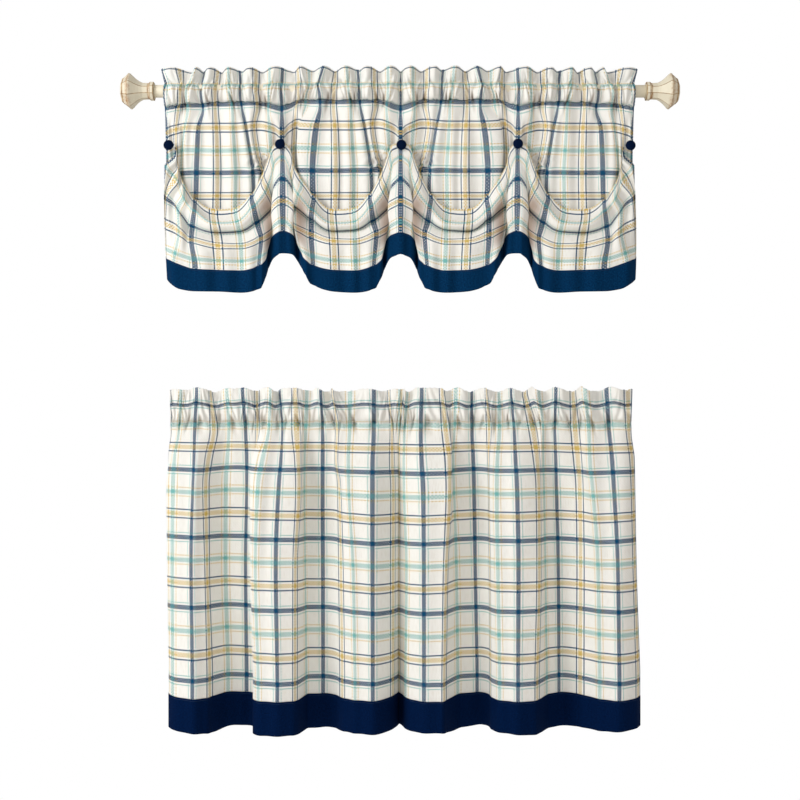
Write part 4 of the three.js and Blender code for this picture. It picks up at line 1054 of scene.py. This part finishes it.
def tier_surface(name, repeats, cloth):
    """Points of a tier, and the shade painted into each one's colour.

    repeats is the place along the cloth in plaid repeats; cloth is how much of it hangs above a line."""
    at, hung = column(FOLDS[name], "repeats"), cloth[:, None]
    width = repeats[None, :] * REPEAT
    near = through(repeats, at, column(FOLDS[name], "near"))[None, :]
    gathers = TIER_GATHERS[name]
    crest, lifted = (
        through(np.clip(repeats + shift, at[0], at[-1]), list(gathers), list(gathers.values()))[None, :]
        for shift in (RUFFLE_SHIFT, 0.0))
    fine = wave("tier puckers", slanting(width, hung - 42, slant=0.5, length=57, start=1))
    folded = wave("tier creases", slanting(width, hung - TIER_POCKET_END, slant=0.3, length=71, start=2))
    crease = rise(-folded, 0.5, 1) * fade(hung, "tier creases")

    # Where the tables put the cloth, in height and across, and how far down it is, from 0 to 1 at the hem.
    header_out, header_z, gather, pucker = section(TIER_HEADER, cloth)
    z = through(np.maximum(cloth, TIER_POCKET_END), *table(TIER_DROP, "z"))[:, None]
    fall = np.clip((TIER_BOTTOM_SEAM - z) / (TIER_BOTTOM_SEAM - TIER_HEM), 0, 1)
    below = hung > TIER_POCKET_END
    level = np.clip(-np.where(below, z, header_z)[:, 0], TIER_LEVELS[0], TIER_LEVELS[-1])
    x = through(level, TIER_LEVELS, through(repeats, at, column(FOLDS[name], "x")).T)

    # How far out: the folds deepen from the pocket down, and the gathers' ridges die out into them.
    depth = FOLD_DEPTH["middle"] * np.sin(np.clip(fall / FOLD_DEPTH["formed"], 0, 1) * math.pi / 2)
    opening = rise(fall, FOLD_DEPTH["opens"], FOLD_DEPTH["open"])
    depth = depth + (FOLD_DEPTH["hem"] - FOLD_DEPTH["middle"]) * opening
    ridge = TIER_RIDGE["seam"] * (1 - np.clip(fall / TIER_RIDGE["seam_gone"], 0, 1))
    ridge = ridge + TIER_RIDGE["body"] * np.sin(np.clip(fall / TIER_RIDGE["body_gone"], 0, 1) * math.pi)
    puckers = fine * TIER_PUCKER["out"] * (1 - rise(hung, TIER_POCKET_END, TIER_PUCKER["gone"]))
    soft = wave("tier soft", width) * ease(fall * 4)
    front = header_out + crest * gather + fine * pucker
    out = TIER_RESTING_OUT + ridge * crest + puckers + soft + depth * (near - 0.5)
    out = np.where(below, out, front) - TIER_CREASE["in"] * crease

    # How high: near folds hang lower, so do the edges that meet, and the cloth is drawn up here and there.
    sag = MEETING_SAG["down"] * bump_at(x, MEETING_SAG["x"], MEETING_SAG["width"])
    sag = sag * rise(fall, 0, MEETING_SAG["full"])
    sag = sag * (1 - rise(fall, MEETING_SAG["fades"], MEETING_SAG["gone"]))
    sag = sag + NEAR_SAG["down"] * (near - 0.5) * rise(fall, 0, NEAR_SAG["full"])
    spots = RAISED[name]
    across = np.clip(x[-1], spots[0]["x"], spots[-1]["x"])
    raised = through(across, column(spots, "x"), column(spots, "up")).T
    sunk = np.clip(-z[:, 0], RAISED_LEVELS[0], RAISED_LEVELS[-1])
    z = np.where(below, z - sag + through(sunk, RAISED_LEVELS, raised), header_z)
    z = np.where(np.abs(hung) < TIER_FOOT["cloth"], leaning(header_z, TIER_FOOT["z"], front), z)
    lift = sum(row["up"] * bump_at(hung, row["cloth"], row["width"]) for row in LIFTS)
    z = z + lifted * lift + TIER_CREASE["up"] * crease
    for seam in (0, TIER_POCKET_END):
        z = z + TIER_PUCKER["up"] * fine * bump_at(hung, seam, TIER_PUCKER["reach"])

    points = np.stack([x * (EYE_DISTANCE - out) / EYE_DISTANCE, -out, tier_axis(name) + z], axis=-1)
    # Painted shade, darkening the cloth's colour: unevenly in the creases under the pocket, and behind the
    # gathers.
    uneven = 0.5 + 0.5 * ripple(width, 93, 1, 0.4)
    gathered = SHADE["gather"] * ease(-crest * 1.5) * fade(hung, "tier gather shade")
    return points, TIER_CREASE["shade"] * crease * uneven + gathered


TIER_HEADING_COLUMNS, TIER_COLUMNS = 340, 200
# The tiers' border is given a darker navy than the valance's.
TIER_BORDER_NAVY = {"dark": "000c2b", "light": "02204a"}
tier_navy = plain_navy("plain woven navy cotton, darker", **TIER_BORDER_NAVY)
tier_heading_rows = rows_between((-62, -27, 5), (-27, -2, 5), (-2, 2, 0.8), (2, 22, 3.5), (22, 38, 2),
                                 (38, 63, 2.6))
tier_panel_rows = rows_between((61.5, 80, 2.6), (80, 549.5, 3.9))
tier_border_rows = rows_between((548.5, 607.5, 3.6))
TIER_PARTS = [
    {"name": "heading_cloth", "node": "heading", "rows": tier_heading_rows, "columns": TIER_HEADING_COLUMNS,
     "cloth": plaid, "slot": "plaid_cloth", "thickness": CLOTH, "held": "gathered", "rests_on": []},
    {"name": "panel_cloth", "node": "panel", "rows": tier_panel_rows, "columns": TIER_COLUMNS,
     "cloth": plaid, "slot": "plaid_cloth", "thickness": CLOTH, "held": "hung",
     "rests_on": ["heading_cloth"]},
    {"name": "border", "node": "band", "rows": tier_border_rows, "columns": TIER_COLUMNS,
     "cloth": tier_navy, "slot": "navy_cloth", "thickness": 2 * CLOTH, "held": "hung",
     "rests_on": ["panel_cloth"]},
]
for name in FOLDS:
    ends = FOLDS[name][0]["repeats"], FOLDS[name][-1]["repeats"]
    for part in TIER_PARTS:
        repeats, rows = np.linspace(*ends, part["columns"]), part["rows"]
        piece = cloth_sheet(f"{name}_{part['name']}", tier_surface(name, repeats, rows), repeats * REPEAT,
                            -(rows - TIER_NAVY_LINE)[:, None], part["cloth"], part["thickness"])
        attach(piece, "root")
        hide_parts(f"{name}_{part['node']}")

# ---- stitching -------------------------------------------------------------------------------
# A row of machine stitches along both edges of each rod pocket in ivory thread, and along the top edge
# of each border in navy thread. Every stitch is a short length of thread laid on the cloth.

STITCH = {"Pitch": 3.4, "Stitch Length": 2.4, "Thread Radius": 0.3}
STITCH_SEED = 7
THREADS = {"ivory": "efeadd", "navy": "0a2c4e"}
LIFT = {"ivory": 0.7, "navy": 1.15}  # from the cloth's middle to the thread: a border is twice as thick
SEAMS = {  # cloth from the top fold to each seam: the pocket's two edges, and the border's top edge
    "valance": {"ivory": [30.6, 70.6], "navy": [549.5]},
    "tier_left": {"ivory": [28.1, 61.6], "navy": [551.5]},
    "tier_right": {"ivory": [28.1, 61.6], "navy": [551.5]},
}


def stitch_nodes():
    """Lays stitches along a line of edges. Returns the node group and its inputs' identifiers by name."""
    group = bpy.data.node_groups.new("row of stitches", "GeometryNodeTree")
    group.interface.new_socket("Seam", in_out="INPUT", socket_type="NodeSocketGeometry")
    kinds = {"Pitch": "NodeSocketFloat", "Stitch Length": "NodeSocketFloat",
             "Thread Radius": "NodeSocketFloat", "Seed": "NodeSocketInt", "Thread": "NodeSocketMaterial"}
    known = {}
    for name, kind in kinds.items():
        known[name] = group.interface.new_socket(name, in_out="INPUT", socket_type=kind).identifier
    group.interface.new_socket("Stitches", in_out="OUTPUT", socket_type="NodeSocketGeometry")
    given = add(group, "NodeGroupInput").outputs
    line = add(group, "GeometryNodeMeshToCurve", {"Mesh": given["Seam"]})
    points = add(group, "GeometryNodeCurveToPoints", {
        "Curve": line.outputs[0], "Length": given["Pitch"]}, mode="LENGTH")
    stitch = add(group, "GeometryNodeMeshCylinder", {
        "Vertices": 6, "Radius": given["Thread Radius"], "Depth": given["Stitch Length"]})
    along = add(group, "FunctionNodeAlignRotationToVector", {"Vector": points.outputs["Tangent"]}, axis="Z")
    uneven = add(group, "FunctionNodeRandomValue", {
        2: 0.85, 3: 1.1, "Seed": given["Seed"]}, data_type="FLOAT")
    laid = add(group, "GeometryNodeInstanceOnPoints", {
        "Points": points.outputs["Points"], "Instance": stitch.outputs["Mesh"],
        "Rotation": along.outputs[0], "Scale": uneven.outputs[1]})
    real = add(group, "GeometryNodeRealizeInstances", {"Geometry": laid.outputs[0]})
    coloured = add(group, "GeometryNodeSetMaterial", {
        "Geometry": real.outputs[0], "Material": given["Thread"]})
    add(group, "NodeGroupOutput", {"Stitches": coloured.outputs[0]})
    return group, known


def seam_points(cloth, hung):
    """Points along a seam, in mm: of the valance or a tier, at so much cloth from the top fold."""
    if cloth == "valance":
        return valance_surface(heading_across, np.array([hung]))[0][0]
    folds = FOLDS[cloth]
    repeats = np.linspace(folds[0]["repeats"], folds[-1]["repeats"], TIER_HEADING_COLUMNS)
    return tier_surface(cloth, repeats, np.array([hung]))[0][0]


def sewing_thread(name):
    """Spun cotton thread: matt, with no sheen of its own."""
    material, tree = new_material(f"{name} cotton sewing thread")
    finish_material(tree, add(tree, "ShaderNodeBsdfPrincipled", {
        "Base Color": linear(THREADS[name]), "Roughness": 0.7}))
    return material


threads = {name: sewing_thread(name) for name in THREADS}
stitching, known = stitch_nodes()
seams = [(cloth, thread, hung) for cloth, rows in SEAMS.items() for thread in rows for hung in rows[thread]]
for number, (cloth, thread, hung) in enumerate(seams):
    points = seam_points(cloth, hung) - np.array([0, LIFT[thread], 0])
    line = bpy.data.meshes.new("seam line")
    line.from_pydata((points / 1000).tolist(), [(k, k + 1) for k in range(len(points) - 1)], [])
    holder = bpy.data.objects.new("seam line", line)
    bpy.context.scene.collection.objects.link(holder)
    sewing = holder.modifiers.new("stitches", "NODES")
    sewing.node_group = stitching
    for size, length in STITCH.items():
        sewing[known[size]] = length / 1000
    sewing[known["Seed"]] = STITCH_SEED + number
    sewing[known["Thread"]] = threads[thread]
    evaluated = holder.evaluated_get(bpy.context.evaluated_depsgraph_get())
    stitches = bpy.data.meshes.new_from_object(evaluated)
    piece = bpy.data.objects.new(f"{cloth}_stitching_{round(hung)}", stitches)
    bpy.data.objects.remove(holder)
    bpy.context.scene.collection.objects.link(piece)
    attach(piece, "root")

# ---- studio ----------------------------------------------------------------------------------
# A pale floor well below the set, a white surround, and soft lamps, the stronger one from the left.

AROUND = {"strength": 0.46, "colour": (1.0, 0.968, 0.94, 1)}  # the light that comes from all sides
WHITE = (1, 1, 1, 1)
FLOOR = {"z": -1450, "half_width": 3000, "front": -2500, "back": 600}
LENS = 56.57  # mm
AIM = (0, 0, -0.5)  # the set's middle, in metres, where the lamps point

scene = bpy.context.scene
scene.view_settings.view_transform = "Standard"
world = bpy.data.worlds.new("white studio")
world.use_nodes = True
world.node_tree.nodes.clear()
tree = world.node_tree
seen = add(tree, "ShaderNodeLightPath").outputs["Is Camera Ray"]
strength = add(tree, "ShaderNodeMapRange", {
    "Value": seen, "To Min": AROUND["strength"], "To Max": 1.0})
glow = add(tree, "ShaderNodeBackground", {
    "Color": AROUND["colour"], "Strength": strength.outputs["Result"]})
backdrop = add(tree, "ShaderNodeBackground", {"Color": WHITE, "Strength": 1.0})
either = add(tree, "ShaderNodeMixShader", {0: seen, 1: glow.outputs[0], 2: backdrop.outputs[0]})
add(tree, "ShaderNodeOutputWorld", {"Surface": either.outputs[0]})
scene.world = world

white, tree = new_material("matt white floor")
finish_material(tree, add(tree, "ShaderNodeBsdfPrincipled", {
    "Base Color": linear("f4f2ee"), "Roughness": 0.9}))
corners = []
for side, edge in ((-1, "front"), (1, "front"), (1, "back"), (-1, "back")):
    corners.append((side * FLOOR["half_width"], FLOOR[edge], FLOOR["z"]))
floor = mesh_object("floor", corners, [(0, 1, 2, 3)], white, smooth=False)
floor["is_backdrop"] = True

LAMPS = [
    {"name": "key", "place": (-2.6, -1.9, 0.7), "size": 1.4, "power": 67, "colour": (1.0, 1.0, 1.0)},
    {"name": "fill", "place": (0.6, -3.0, 0.1), "size": 2.2, "power": 14, "colour": (1.0, 0.96, 0.92)},
]
for lamp in LAMPS:
    data = bpy.data.lights.new(lamp["name"], "AREA")
    data.energy = lamp["power"]
    data.size = lamp["size"]
    data.color = lamp["colour"]
    light = bpy.data.objects.new(lamp["name"], data)
    light.location = lamp["place"]
    aim = Vector(AIM) - light.location
    light.rotation_euler = aim.to_track_quat("-Z", "Y").to_euler()
    scene.collection.objects.link(light)

camera_data = bpy.data.cameras.new("camera")
camera_data.lens = LENS
camera = bpy.data.objects.new("camera", camera_data)
camera.location = (0, -EYE_DISTANCE / 1000, EYE_HEIGHT / 1000)
camera.rotation_euler = (math.pi / 2, 0, 0)
scene.collection.objects.link(camera)
scene.camera = camera

low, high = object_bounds()
